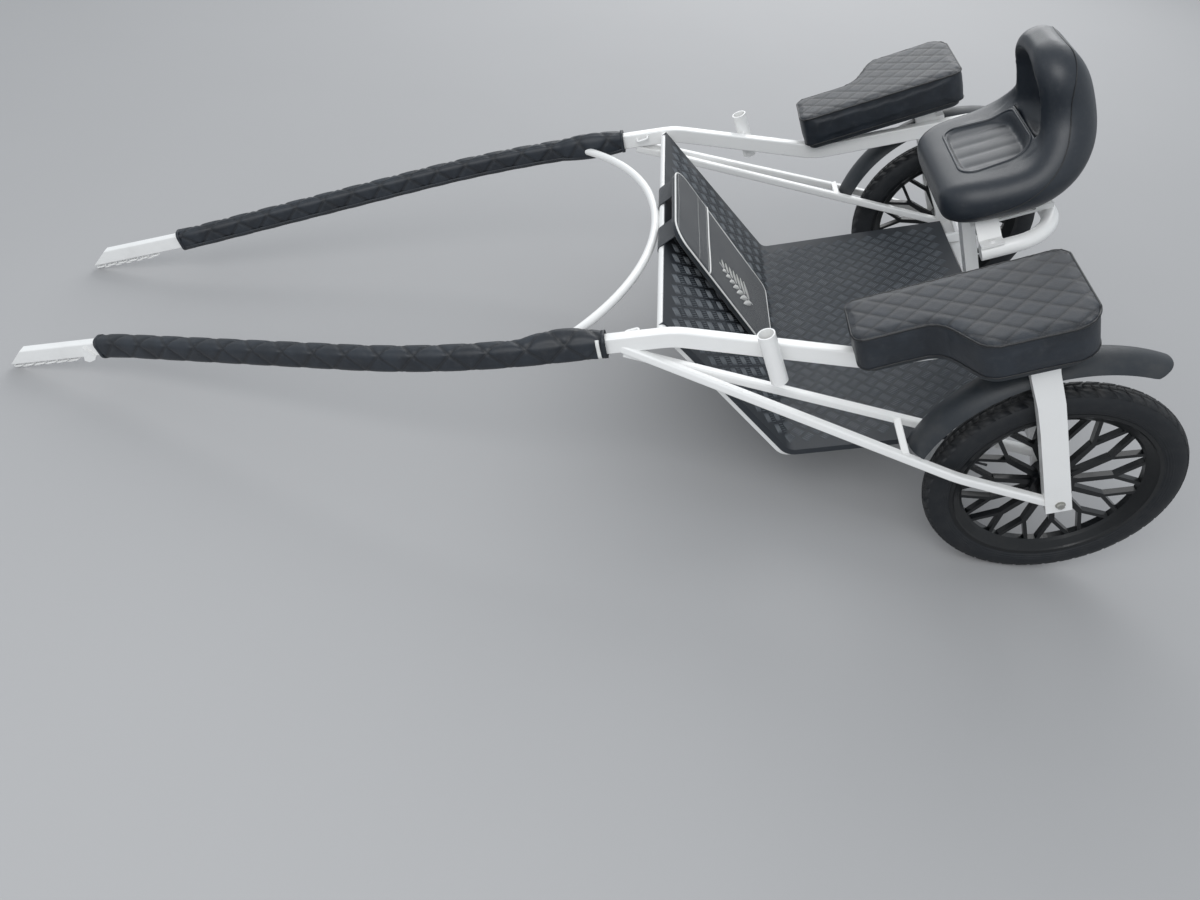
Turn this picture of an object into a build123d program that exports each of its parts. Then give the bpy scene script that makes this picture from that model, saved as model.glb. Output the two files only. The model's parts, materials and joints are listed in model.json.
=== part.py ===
"""Two-wheeled exercise cart for one horse, parked on its shaft tips.

Millimetres. Every piece is drawn in the driving attitude, with X forward, Y to the cart's left,
Z up and the origin on the axle line midway between the wheels. At the end the whole cart is
pitched nose down about the axle until the chains under the shaft tips meet the ground, and moved
so that the origin lies under the middle of its box.
"""

from build123d import *
import os
from math import asin, atan2, cos, degrees, hypot, radians, sin

# Wheels: 17 inch cast wheels with 2.50 inch tyres.
TYRE_R = 275.0
TYRE_WIDTH = 64.0
TYRE_CROWN_W = 28.0
BEAD_R = 216.0
BEAD_W = 44.0
FLANGE_R = 221.0
RIM_WIDTH = 52.0
RIM_INNER_R = 190.0
RIM_WALL = [(196.0, 13.0), (210.0, 23.0), (213.0, 26.0)]
HUB_R = 34.0
HUB_WIDTH = 78.0
HUB_FLANGE_R = 46.0
HUB_FLANGE_W = 34.0
BORE_R = 8.05
SPOKES = 13
SPOKE_DEPTH = 15.0
SPOKE_FORK_R = 128.0
SPOKE_SPREAD_DEG = 10.3
SPOKE_PHASE_DEG = 21.4
STEM_W = (15.0, 12.0)
ARM_W = 8.5
WHEEL_Y = 566.0

# Shafts, which run back as the side rails of the frame: closed box tube.
RAIL_W = 25.0
RAIL_H = 40.0
RAIL_Y = 484.0
RAIL_CORNER = 4.0
RAIL_REAR = (-100.0, 348.0)
RAIL_HEEL = (328.0, 398.0)
RAIL_SHOULDER = (700.0, 577.0)
SHAFT_BEND = (1207.0, 665.0)
SHAFT_NOSE_BEND = (2120.0, 824.0)
SHAFT_TIP = (2443.0, 869.0)
NOSE_BEND_Y = 260.0
TIP_Y = 238.0
SHAFT_RADII = [200.0, 180.0, 2000.0, 700.0]
TIP_CHAMFER = 84.0
TIP_CHAMFER_DEG = 26.0

# Lug that keeps the harness loop off the sleeve, on the outer face of each shaft.
LUG_X = 2186.0
LUG_LENGTH = 38.0
LUG_T = 5.0

# Padded sleeves on the shafts.
SLEEVE_WALL = 9.0
SLEEVE_CORNER = 17.0
SLEEVE_GAP = 0.2
SLEEVE_FRONT_X = 2150.0
SLEEVE_REAR_X = 842.0

# Short-link chain welded under each shaft tip.
LINKS = 11
LINK_WIRE = 5.0
LINK_LENGTH = 28.5
LINK_WIDTH = 17.0
LINK_PITCH = 17.9
LINK_CORNER = 5.2
LINK_SETBACK = 4.0

# Legs, fork tubes and axle. A row of a leg gives a height and its rear and front edges there.
LEG_IN_W = 24.0
LEG_OUT_Y = 612.0
LEG_OUT_W = 28.0
LEG_TOP_Z = 385.0
LEG_OUT_ROWS = [(-22, -24, 30), (228, -18, 33), (300, -16, 36), (LEG_TOP_Z, -8, 45)]
LEG_IN_ROWS = [(-13, -22, 24), (90, -22, 24), (234, -20, 40), (330, -30, 45), (LEG_TOP_Z, -30, 45)]
CROWN_TOP_Z = 425.0
CROWN_X = (-8.0, 45.0)
AXLE_R = 8.0
BEAM_X = (-32.0, 10.0)
BEAM_Z = (3.0, 43.0)
GUSSET_R = 125.0
GUSSET_X = (-20.0, -12.0)
BRACE = 20.0
BRACE_CORNER = 5.0
BRACE_FRONT_X = 814.0
BRACE_BEND_X = 200.0
BRACE_FOOT = (22.0, 3.0)
BRACE_SLOPE = 0.736
INNER_BRACE_FOOT_Z = 46.0
INNER_BRACE_SLOPE = 0.663
STRUT_X = 293.0
STRUT = 16.0

# Floor pan and its runners.
PAN_T = 3.0
PAN_LIP = 14.0
PAN_HALF_W = 457.0
PAN_REAR = (20.0, 73.5)
PAN_BEND = (543.0, 151.5)
PAN_TOP = (717.0, 600.0)
PAN_BEND_R = 30.0
RUNNER_W = 20.0
RUNNER_H = 25.0
RUNNER_Y = 443.0
RUNNER_INSET = 60.0
CROSSBAR_R = 11.0
BOW_R = 10.5
BOW_END = (979.0, 622.0)

# Mudguards: an arc about a centre a little behind the axle.
GUARD_R = 358.0
GUARD_CENTRE = (-13.0, 4.0)
GUARD_DROP = 26.0
GUARD_HALF_W = 45.2
GUARD_T = 3.0
GUARD_FRONT_DEG = 28.0
GUARD_REAR_DEG = 127.0
GUARD_END_R = 40.0
GUARD_STAY = (24.0, 28.0)

# Side cushions and the trays they lie on.
CUSHION_TOP = 525.0
CUSHION_BOTTOM = 437.0
CUSHION_FRONT_X = 356.0
CUSHION_REAR_X = -84.0
CUSHION_IN_Y = 430.0
CUSHION_NECK_Y = 577.0
CUSHION_OUT_Y = 688.0
CUSHION_STEP_X = (190.0, 125.0)
CUSHION_RADII = [22.0, 26.0, 60.0, 50.0, 58.0, 26.0]
TRAY_INSET = 16.0

# Whip holders on the outer faces of the rails, and the staples on the inner ones.
HOLDER_R = 19.0
HOLDER_BORE_R = 16.0
HOLDER_X = 512.0
HOLDER_Y = 525.0
HOLDER_Z = (428.0, 556.0)
HOLDER_TAB = (6.0, 40.0)
STAPLE_X = (772.0, 802.0)
STAPLE_Z = 600.0
STAPLE_REACH = 17.0
STAPLE_R = 3.0

# Seat stand.
POST_W = 30.0
POST_Y = 50.0
LOOP_R = 19.0
LOOP_Z = 368.0
LOOP_HALF_W = 170.0
LOOP_X = (30.0, -140.0)
LOOP_BEND_R = 90.0
STRAP_T = 6.0
SLIDE_Y = 72.0
SLIDE_W = 44.0
BRACKET_X = (-20.0, 30.0)
BRACKET_FLAT_Y = 125.0
BRACKET_FOOT_Y = (160.0, 188.0)

# Seat: sections from the front edge of the pan to the top of the back. Each gives the middle of
# the section, how far it leans back from upright, its width and its thickness.
SEAT_BASE_Z = 445.0
SEAT_SECTIONS = [
    {"x": 99, "z": 492, "lean": 0, "width": 250, "thick": 34},
    {"x": 86, "z": 492, "lean": 0, "width": 322, "thick": 74},
    {"x": 52, "z": 492.5, "lean": 0, "width": 370, "thick": 95},
    {"x": -30, "z": 492.5, "lean": 0, "width": 400, "thick": 95},
    {"x": -95, "z": 499, "lean": 14, "width": 408, "thick": 97},
    {"x": -150, "z": 527, "lean": 42, "width": 380, "thick": 106},
    {"x": -178, "z": 572, "lean": 68, "width": 322, "thick": 112},
    {"x": -180, "z": 632, "lean": 90, "width": 258, "thick": 114},
    {"x": -173, "z": 690, "lean": 96, "width": 236, "thick": 104},
    {"x": -163, "z": 735, "lean": 100, "width": 190, "thick": 80},
    {"x": -156, "z": 758, "lean": 102, "width": 134, "thick": 52},
    {"x": -153, "z": 769, "lean": 102, "width": 70, "thick": 22},
]
BACK_HOLLOW_R = 110.0
BACK_HOLLOW_DEPTH_X = -172.0
BACK_HOLLOW_Z = (545.0, 650.0)
BACK_HOLLOW_FOOT_R = 44.0
PANEL_X = (38.0, -126.0)
PANEL_HALF_W = (114.0, 97.0)
PANEL_DEPTH = 8.0
PANEL_CORNER = 28.0
PANEL_RIBS = 4
RIB_W = 30.0
RIB_H = 5.0

# Bag on the driver's side of the dash, hung on the crossbar by two straps.
BAG_W = 324.0
BAG_FOOT = 46.0
BAG_TOP = 500.0
BAG_T = 18.0
BAG_STANDOFF = 32.0
BAG_FOOT_CORNER = 26.0
BAG_TOP_CORNER = 52.0
BAG_STRAP_Y = 100.0
BAG_STRAP_W = 90.0
BAG_STRAP_T = 2.0
BAG_STRAP_GAP = 0.3

PARTS = {}


def side(s):
    """The name of the side: left for +1, right for -1."""
    return "left" if s > 0 else "right"


def swept(points, radii, section_w, section_h, corner, across=(0, 1, 0)):
    """A closed box tube along straight runs joined by arcs."""
    path = FilletPolyline(*points, radius=radii) if len(points) > 2 else Line(*points)
    start = Plane(origin=path @ 0, x_dir=across, z_dir=path % 0)
    return sweep(start * RectangleRounded(section_w, section_h, corner), path=path)


def rod(points, radii, radius):
    """A round bar along straight runs joined by arcs."""
    path = FilletPolyline(*points, radius=radii) if len(points) > 2 else Line(*points)
    return sweep(Plane(origin=path @ 0, z_dir=path % 0) * Circle(radius), path=path)


def block(x0, x1, y0, y1, z0, z1):
    """A box between two corners."""
    return Pos((x0 + x1) / 2, (y0 + y1) / 2, (z0 + z1) / 2) * Box(abs(x1 - x0), abs(y1 - y0), abs(z1 - z0))


def plate_xz(outline, y0, y1):
    """An outline in the XZ plane, given thickness from y0 to y1."""
    face = Plane.XZ * make_face(Polyline(*outline, close=True))
    return Pos(0, max(y0, y1), 0) * extrude(face, abs(y1 - y0))


def plate_yz(outline, x0, x1):
    """An outline of (y, z) points, given thickness from x0 to x1."""
    face = Plane.YZ * make_face(Polyline(*outline, close=True))
    return Pos(min(x0, x1), 0, 0) * extrude(face, abs(x1 - x0))


def shaft_points(s):
    """The centre line of one shaft from its rear end to its tip, for s = +1 or -1."""
    return [
        (RAIL_REAR[0], s * RAIL_Y, RAIL_REAR[1]),
        (RAIL_HEEL[0], s * RAIL_Y, RAIL_HEEL[1]),
        (RAIL_SHOULDER[0], s * RAIL_Y, RAIL_SHOULDER[1]),
        (SHAFT_BEND[0], s * RAIL_Y, SHAFT_BEND[1]),
        (SHAFT_NOSE_BEND[0], s * NOSE_BEND_Y, SHAFT_NOSE_BEND[1]),
        (SHAFT_TIP[0], s * TIP_Y, SHAFT_TIP[1]),
    ]


def make_shafts():
    for s in (1, -1):
        shaft = swept(shaft_points(s), SHAFT_RADII, RAIL_W, RAIL_H, RAIL_CORNER)
        start = Pos(SHAFT_TIP[0] - TIP_CHAMFER, s * TIP_Y, SHAFT_TIP[1] + RAIL_H / 2)
        over = Box(2 * TIP_CHAMFER, 3 * RAIL_W, 2 * RAIL_H, align=(Align.MIN, Align.CENTER, Align.MIN))
        PARTS[f"shaft_{side(s)}"] = shaft - start * Rot(0, TIP_CHAMFER_DEG, 0) * over


def make_sleeves():
    for s in (1, -1):
        points = shaft_points(s)
        wide, tall = RAIL_W + 2 * SLEEVE_WALL, RAIL_H + 2 * SLEEVE_WALL
        outer = swept(points, SHAFT_RADII, wide, tall, SLEEVE_CORNER)
        inner = swept(points, SHAFT_RADII, RAIL_W + 2 * SLEEVE_GAP, RAIL_H + 2 * SLEEVE_GAP, RAIL_CORNER)
        length = block(SLEEVE_REAR_X, SLEEVE_FRONT_X, 0, s * 2 * RAIL_Y, 0, 2 * SHAFT_TIP[1])
        PARTS[f"shaft_sleeve_{side(s)}"] = (outer & length) - inner - bow_bar(BOW_R + SLEEVE_GAP)


def nose(s):
    """The straight front run of a shaft: its tip, its direction and the way down from it."""
    tip = Vector(SHAFT_TIP[0], s * TIP_Y, SHAFT_TIP[1])
    run = (tip - Vector(SHAFT_NOSE_BEND[0], s * NOSE_BEND_Y, SHAFT_NOSE_BEND[1])).normalized()
    return tip, run, Vector(run.Z, 0, -run.X).normalized()


def chain_link():
    """One link, its length along X and its width along Y, with cropped corners."""
    outer = chamfer(Rectangle(LINK_LENGTH, LINK_WIDTH).vertices(), LINK_CORNER)
    hole = Rectangle(LINK_LENGTH - 2 * LINK_WIRE, LINK_WIDTH - 2 * LINK_WIRE)
    inner = chamfer(hole.vertices(), LINK_CORNER - LINK_WIRE * (2 - 2**0.5))
    return Pos(0, 0, -LINK_WIRE / 2) * extrude(outer - inner, LINK_WIRE)


def make_chains():
    """Upright and flat links by turns, hanging from the underside of the tip."""
    link = chain_link()
    for s in (1, -1):
        tip, run, down = nose(s)
        first = tip + down * ((RAIL_H + LINK_WIDTH) / 2) - run * (LINK_SETBACK + LINK_LENGTH / 2)
        chain = None
        for i in range(LINKS):
            up = down * -1 if i % 2 == 0 else run.cross(down)
            place = Plane(first - run * (LINK_PITCH * i), x_dir=run, z_dir=run.cross(up))
            chain = place * link if chain is None else chain + place * link
        PARTS[f"tip_chain_{side(s)}"] = chain - PARTS[f"shaft_{side(s)}"]


def make_lugs():
    for s in (1, -1):
        path = FilletPolyline(*shaft_points(s), radius=SHAFT_RADII)
        near = min((path @ (i / 400) for i in range(401)), key=lambda p: abs(p.X - LUG_X))
        y0 = near.Y + s * (RAIL_W / 2 - 1)
        x0, z0 = near.X, near.Z
        outline = [
            (x0 - LUG_LENGTH / 2, z0 - RAIL_H / 2),
            (x0 - LUG_LENGTH / 8, z0 + RAIL_H / 3),
            (x0 + LUG_LENGTH / 2, z0 - RAIL_H / 2 - 2),
            (x0 + LUG_LENGTH / 4, z0 - RAIL_H / 2 - 10),
            (x0 - LUG_LENGTH / 4, z0 - RAIL_H / 2 - 8),
        ]
        plate = plate_xz(outline, y0, y0 + s * (LUG_T + 4))
        PARTS[f"tug_stop_{side(s)}"] = plate - PARTS[f"shaft_{side(s)}"]


def bow_bar(radius):
    """A round bar bent in one arc from shaft to shaft, its middle against the crossbar."""
    slope = (SHAFT_BEND[1] - RAIL_SHOULDER[1]) / (SHAFT_BEND[0] - RAIL_SHOULDER[0])
    apex_x = crossbar_centre()[0] + CROSSBAR_R + BOW_R
    apex_z = RAIL_SHOULDER[1] + slope * (apex_x - RAIL_SHOULDER[0])
    end_x, end_z = BOW_END
    arc = ThreePointArc((end_x, RAIL_Y, end_z), (apex_x, 0, apex_z), (end_x, -RAIL_Y, end_z))
    return sweep(Plane(origin=arc @ 0, z_dir=arc % 0) * Circle(radius), path=arc)


def make_bow():
    PARTS["bow"] = bow_bar(BOW_R) - PARTS["shaft_left"] - PARTS["shaft_right"]


def dash_directions():
    """Up along the dash, and from the dash towards the driver."""
    run = Vector(PAN_TOP[0] - PAN_BEND[0], 0, PAN_TOP[1] - PAN_BEND[1]).normalized()
    return run, Vector(-run.Z, 0, run.X)


def crossbar_centre():
    """The crossbar lies against the front of the dash's upper edge."""
    run, driver = dash_directions()
    centre = Vector(PAN_TOP[0], 0, PAN_TOP[1]) - driver * (CROSSBAR_R + PAN_T / 2) - run * CROSSBAR_R
    return centre.X, centre.Z


def make_crossbar():
    x, z = crossbar_centre()
    end = RAIL_Y - RAIL_W / 2
    PARTS["crossbar"] = rod([(x, -end, z), (x, end, z)], 0, CROSSBAR_R)


def make_staples():
    """A small U of round rod on the inner face of each rail, for the reins."""
    for s in (1, -1):
        face, reach = s * (RAIL_Y - RAIL_W / 2 + 2), s * (RAIL_Y - RAIL_W / 2 - STAPLE_REACH)
        x0, x1 = STAPLE_X
        points = [(x0, face, STAPLE_Z), (x0, reach, STAPLE_Z), (x1, reach, STAPLE_Z), (x1, face, STAPLE_Z)]
        PARTS[f"rein_staple_{side(s)}"] = rod(points, 2 * STAPLE_R, STAPLE_R) - PARTS[f"shaft_{side(s)}"]


def make_pan():
    """Tread plate bent once: the floor, then the dash, with a turned-down lip on each side."""
    path = FilletPolyline((PAN_REAR[0], 0, PAN_REAR[1]), (PAN_BEND[0], 0, PAN_BEND[1]),
                          (PAN_TOP[0], 0, PAN_TOP[1]), radius=PAN_BEND_R)
    start = Plane(origin=path @ 0, x_dir=(0, 1, 0), z_dir=path % 0)
    section = Rectangle(2 * PAN_HALF_W, PAN_T)
    for s in (1, -1):
        section += Pos(s * (PAN_HALF_W - PAN_T / 2), -PAN_LIP / 2) * Rectangle(PAN_T, PAN_LIP)
    x, z = crossbar_centre()
    bar = rod([(x, -PAN_HALF_W - 1, z), (x, PAN_HALF_W + 1, z)], 0, CROSSBAR_R)
    PARTS["floor_pan"] = (sweep(start * section, path=path) - bar).solids().sort_by(SortBy.VOLUME)[-1]


def make_runners():
    """A bar under each edge of the pan, which follows the bend and then runs back further in."""
    run, driver = dash_directions()
    flat = Vector(PAN_BEND[0] - PAN_REAR[0], 0, PAN_BEND[1] - PAN_REAR[1]).normalized()
    under = Vector(flat.Z, 0, -flat.X)
    drop = (PAN_T + RUNNER_H) / 2
    corner = (under - driver) * (drop / (1 - under.dot(driver)))
    for s in (1, -1):
        foot = Vector(PAN_BEND[0], s * RUNNER_Y, PAN_BEND[1]) + corner
        top = foot + run * ((crossbar_centre()[1] - foot.Z) / run.Z - CROSSBAR_R * 0.8)
        inward = Vector(0, -s * RUNNER_INSET, 0)
        turn = foot - flat * (2 * RUNNER_INSET) + inward
        back = foot - flat * ((foot.X - BEAM_X[0]) / flat.X) + inward
        bar = swept([top, foot, turn, back], [PAN_BEND_R + drop, RUNNER_INSET], RUNNER_W, RUNNER_H, 3)
        PARTS[f"floor_runner_{side(s)}"] = (
            bar - PARTS["crossbar"] - PARTS["axle_beam"] - PARTS["floor_pan"]
            - PARTS[f"beam_gusset_{side(s)}"]
        )


def make_braces():
    """Two tubes a side from the rail down to the legs, joined by a strut ahead of the wheel."""
    foot_x, foot_z = BRACE_FOOT

    def outer_z(x):
        return foot_z + BRACE_SLOPE * (x - foot_x)

    def inner_z(x):
        return INNER_BRACE_FOOT_Z + INNER_BRACE_SLOPE * (x - foot_x)

    for s in (1, -1):
        leg_in = s * (RAIL_Y + RAIL_W / 2 + LEG_IN_W / 2)
        leg_out = s * (LEG_OUT_Y + LEG_OUT_W / 2)
        rail = s * (RAIL_Y + 3)
        inner = swept([(foot_x, leg_in, inner_z(foot_x)), (BRACE_FRONT_X, s * RAIL_Y, inner_z(BRACE_FRONT_X))],
                      0, BRACE, BRACE, BRACE_CORNER)
        bend = (BRACE_BEND_X, leg_out, outer_z(BRACE_BEND_X))
        front = (BRACE_FRONT_X, rail, outer_z(BRACE_FRONT_X))
        outer = swept([(foot_x, leg_out, foot_z), bend, front], 300, BRACE, BRACE, BRACE_CORNER)
        inner -= PARTS[f"inner_leg_{side(s)}"] + PARTS[f"shaft_{side(s)}"]
        outer -= PARTS[f"outer_leg_{side(s)}"] + PARTS[f"shaft_{side(s)}"] + inner
        PARTS[f"inner_brace_{side(s)}"] = inner
        PARTS[f"outer_brace_{side(s)}"] = outer
        strut_y = leg_out + (rail - leg_out) * (STRUT_X - BRACE_BEND_X) / (BRACE_FRONT_X - BRACE_BEND_X)
        ends = [(STRUT_X, leg_in, inner_z(STRUT_X)), (STRUT_X, strut_y, outer_z(STRUT_X) + STRUT / 2)]
        strut = swept(ends, 0, STRUT, STRUT, 3, across=(1, 0, 0))
        PARTS[f"fork_strut_{side(s)}"] = strut - inner - outer


def make_legs():
    """The inner and outer legs that hold the axle pin, with the crown that joins their tops."""
    def leg(rows, y0, width):
        outline = [(front, z) for z, rear, front in rows]
        outline += [(rear, z) for z, rear, front in reversed(rows)]
        return plate_xz(outline, y0, y0 + width) - axle_hole()

    guard_top = GUARD_CENTRE[1] + GUARD_R
    stay_x, stay_y = GUARD_STAY[0] / 2, GUARD_STAY[1] / 2
    for s in (1, -1):
        y0 = s * (RAIL_Y + RAIL_W / 2)
        y1 = s * (LEG_OUT_Y + LEG_OUT_W)
        PARTS[f"outer_leg_{side(s)}"] = leg(LEG_OUT_ROWS, s * LEG_OUT_Y, s * LEG_OUT_W)
        PARTS[f"inner_leg_{side(s)}"] = leg(LEG_IN_ROWS, y0, s * LEG_IN_W)
        crown = block(*CROWN_X, y0, y1, LEG_TOP_Z, CROWN_TOP_Z)
        spacer = block(-stay_x, stay_x, s * (WHEEL_Y - stay_y), s * (WHEEL_Y + stay_y),
                       guard_top - 2 * GUARD_T, LEG_TOP_Z)
        PARTS[f"leg_crown_{side(s)}"] = crown + (spacer - guard_shell(s, GUARD_R))


def axle_hole():
    return Rot(90, 0, 0) * Cylinder(AXLE_R, 4 * RAIL_Y)


def make_axles():
    end = RAIL_Y + RAIL_W / 2
    PARTS["axle_beam"] = block(*BEAM_X, -end, end, *BEAM_Z)
    for s in (1, -1):
        lo, hi = end, LEG_OUT_Y + LEG_OUT_W - 2
        PARTS[f"axle_pin_{side(s)}"] = Pos(0, s * (lo + hi) / 2, 0) * Rot(90, 0, 0) * Cylinder(AXLE_R, hi - lo)


def make_gussets():
    """A web with a hollow edge in each corner between the axle beam and the inner leg."""
    for s in (1, -1):
        corner_y, corner_z = s * (RAIL_Y + RAIL_W / 2), BEAM_Z[1]
        outline = [(corner_y, corner_z), (corner_y - s * GUSSET_R, corner_z), (corner_y, corner_z + GUSSET_R)]
        web = plate_yz(outline, *GUSSET_X)
        hollow = Pos(0, corner_y - s * GUSSET_R, corner_z + GUSSET_R) * Rot(0, 90, 0) * Cylinder(
            GUSSET_R * 0.96, 4 * LEG_OUT_W)
        PARTS[f"beam_gusset_{side(s)}"] = web - hollow


def guard_shell(s, solid_r=None):
    """The mudguard's shell, or with solid_r all that lies inside its outer face."""
    lip = GUARD_R - GUARD_DROP
    outer = ThreePointArc((lip, -GUARD_HALF_W), (GUARD_R, 0), (lip, GUARD_HALF_W))
    if solid_r:
        lower = Polyline((lip, GUARD_HALF_W), (lip - 40, GUARD_HALF_W), (lip - 40, -GUARD_HALF_W),
                         (lip, -GUARD_HALF_W))
        section = make_face([outer, lower])
    else:
        half = GUARD_HALF_W - GUARD_T
        inner = ThreePointArc((lip, half), (GUARD_R - GUARD_T, 0), (lip, -half))
        ends = [Line((lip, GUARD_HALF_W), (lip, half)), Line((lip, -half), (lip, -GUARD_HALF_W))]
        section = make_face([outer, ends[0], inner, ends[1]])
    # The section is drawn ahead of the centre, with its width along Y, and turned up about Y.
    shell = revolve(section, Axis.Y, -(GUARD_REAR_DEG - GUARD_FRONT_DEG))
    place = Pos(GUARD_CENTRE[0], s * WHEEL_Y, GUARD_CENTRE[1])
    return place * Rot(0, -GUARD_FRONT_DEG, 0) * shell


def make_guards():
    """Arched mudguards with rounded ends."""
    for s in (1, -1):
        guard = guard_shell(s)
        for angle, way in ((GUARD_FRONT_DEG, -1), (GUARD_REAR_DEG, 1)):
            square = Rectangle(2 * GUARD_END_R, 4 * GUARD_HALF_W)
            rounded = Pos(-way * GUARD_END_R, 0) * RectangleRounded(
                2 * GUARD_END_R, 2 * GUARD_HALF_W + 0.2, GUARD_END_R - 1)
            trim = Pos(0, 0, GUARD_R - 80) * extrude(square - rounded, 120)
            place = Pos(GUARD_CENTRE[0], s * WHEEL_Y, GUARD_CENTRE[1]) * Rot(0, 90 - angle, 0)
            guard -= place * (Rot(0, 0, 180) * trim if way > 0 else trim)
        PARTS[f"mudguard_{side(s)}"] = guard


def cushion_outline(s, inset):
    """Plan of a side cushion: narrow in front, an S bend on the outer edge, wide behind."""
    front, rear = CUSHION_FRONT_X - inset, CUSHION_REAR_X + inset
    y_in, y_neck, y_out = CUSHION_IN_Y + inset, CUSHION_NECK_Y - inset, CUSHION_OUT_Y - inset
    step_0, step_1 = CUSHION_STEP_X
    points = [(front, y_in), (front, y_neck), (step_0, y_neck), (step_1, y_out), (rear, y_out), (rear, y_in)]
    points = [(x, s * y) for x, y in points]
    face = make_face(Polyline(*points, close=True))
    for (x, y), radius in zip(points, CUSHION_RADII):
        corner = min(face.vertices(), key=lambda v: hypot(v.X - x, v.Y - y))
        face = fillet(corner, radius)
    return face


def make_cushions():
    for s in (1, -1):
        body = Pos(0, 0, CUSHION_BOTTOM) * extrude(cushion_outline(s, 0), CUSHION_TOP - CUSHION_BOTTOM)
        PARTS[f"side_cushion_{side(s)}"] = body
        tray = Pos(0, 0, CROWN_TOP_Z) * extrude(cushion_outline(s, TRAY_INSET), CUSHION_BOTTOM - CROWN_TOP_Z)
        PARTS[f"cushion_tray_{side(s)}"] = tray - PARTS[f"shaft_{side(s)}"]


def make_holders():
    """Open tubes on the outer faces of the rails."""
    z0, z1 = HOLDER_Z
    tab_w, tab_h = HOLDER_TAB
    for s in (1, -1):
        y = s * HOLDER_Y
        tab = block(HOLDER_X - tab_w / 2, HOLDER_X + tab_w / 2, s * (RAIL_Y + RAIL_W / 2), y,
                    z0 + tab_h, z0 + 2 * tab_h)
        middle = Pos(HOLDER_X, y, (z0 + z1) / 2)
        tube = tab + middle * Cylinder(HOLDER_R, z1 - z0)
        PARTS[f"whip_holder_{side(s)}"] = tube - middle * Cylinder(HOLDER_BORE_R, z1 - z0)


def make_seat_stand():
    """Post, loop of round tube, the H-shaped slide on them and the bracket under the seat."""
    loop_top = LOOP_Z + LOOP_R
    post_x = BEAM_X[1]
    PARTS["seat_post"] = block(post_x, post_x + POST_W, -POST_Y / 2, POST_Y / 2, BEAM_Z[0], loop_top)
    notch = block(PAN_REAR[0] - 20, post_x + POST_W + 1, -POST_Y / 2 - 1, POST_Y / 2 + 1, 0, 200)
    PARTS["floor_pan"] -= notch
    front, rear = LOOP_X
    PARTS["rear_loop"] = rod(
        [(front, LOOP_HALF_W, LOOP_Z), (rear, LOOP_HALF_W, LOOP_Z),
         (rear, -LOOP_HALF_W, LOOP_Z), (front, -LOOP_HALF_W, LOOP_Z)], LOOP_BEND_R, LOOP_R)
    head = block(*BRACKET_X, -SLIDE_Y - SLIDE_W / 2, SLIDE_Y + SLIDE_W / 2, loop_top, loop_top + STRAP_T)
    for s in (1, -1):
        y0, y1 = s * (SLIDE_Y - SLIDE_W / 2), s * (SLIDE_Y + SLIDE_W / 2)
        head += block(rear - LOOP_R / 2, BRACKET_X[0], y0, y1, loop_top, loop_top + STRAP_T)
        head += block(rear - LOOP_R / 2, rear + 30, y0, y1, loop_top, loop_top + 2 * STRAP_T)
    PARTS["seat_slide"] = head
    top, foot = SEAT_BASE_Z, loop_top
    half, foot_in, foot_out = BRACKET_FLAT_Y, *BRACKET_FOOT_Y
    outline = []
    for s in (1, -1):
        run = [(half, top), (foot_in + 2, foot + STRAP_T), (foot_out, foot + STRAP_T), (foot_out, foot),
               (foot_in - 2, foot), (half - 4, top - STRAP_T)]
        outline += [(s * y, z) for y, z in (run if s > 0 else reversed(run))]
    PARTS["seat_bar"] = plate_yz(outline, *BRACKET_X)


def seat_face(x, z, lean, width, thick):
    """A slot-shaped section of the seat, across the line from its front edge to its top."""
    along = Vector(-cos(radians(lean)), 0, sin(radians(lean)))
    return Plane(origin=(x, 0, z), x_dir=(0, 1, 0), z_dir=along) * SlotOverall(width, thick)


def make_seat():
    """A moulded seat: rolled edges all round, a hollow back and a sunken ribbed panel."""
    body = loft([seat_face(**row) for row in SEAT_SECTIONS])
    low, high = BACK_HOLLOW_Z
    top = high + BACK_HOLLOW_R
    # Half of the hollow's section, turned about an upright axis: rounded foot, wall and dome.
    foot = FilletPolyline((0, low), (BACK_HOLLOW_R, low), (BACK_HOLLOW_R, high), radius=BACK_HOLLOW_FOOT_R)
    dome = RadiusArc((BACK_HOLLOW_R, high), (0, top), -BACK_HOLLOW_R)
    section = make_face([foot, dome, Line((0, top), (0, low))])
    hollow = Pos(BACK_HOLLOW_DEPTH_X + BACK_HOLLOW_R, 0, 0) * revolve(Plane.XZ * section, Axis.Z, 360)
    front, rear = PANEL_X
    corners = [(front, PANEL_HALF_W[0]), (rear, PANEL_HALF_W[1]), (rear, -PANEL_HALF_W[1]),
               (front, -PANEL_HALF_W[0])]
    outline = make_face(Polyline(*corners, close=True))
    outline = fillet(outline.vertices(), PANEL_CORNER)
    pan_top = SEAT_SECTIONS[3]["z"] + SEAT_SECTIONS[3]["thick"] / 2
    panel = Pos(0, 0, pan_top - PANEL_DEPTH) * extrude(outline, 3 * PANEL_DEPTH)
    pitch = 2 * PANEL_HALF_W[1] / PANEL_RIBS
    for i in range(PANEL_RIBS):
        y = (i - (PANEL_RIBS - 1) / 2) * pitch
        rib = Pos((front + rear) / 2, y, pan_top - PANEL_DEPTH) * Box(
            front - rear - 2 * PANEL_CORNER, RIB_W, 2 * RIB_H)
        panel -= rib
    under = block(-300, 300, -300, 300, 300, SEAT_BASE_Z)
    PARTS["seat"] = body - hollow - panel - under


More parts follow.
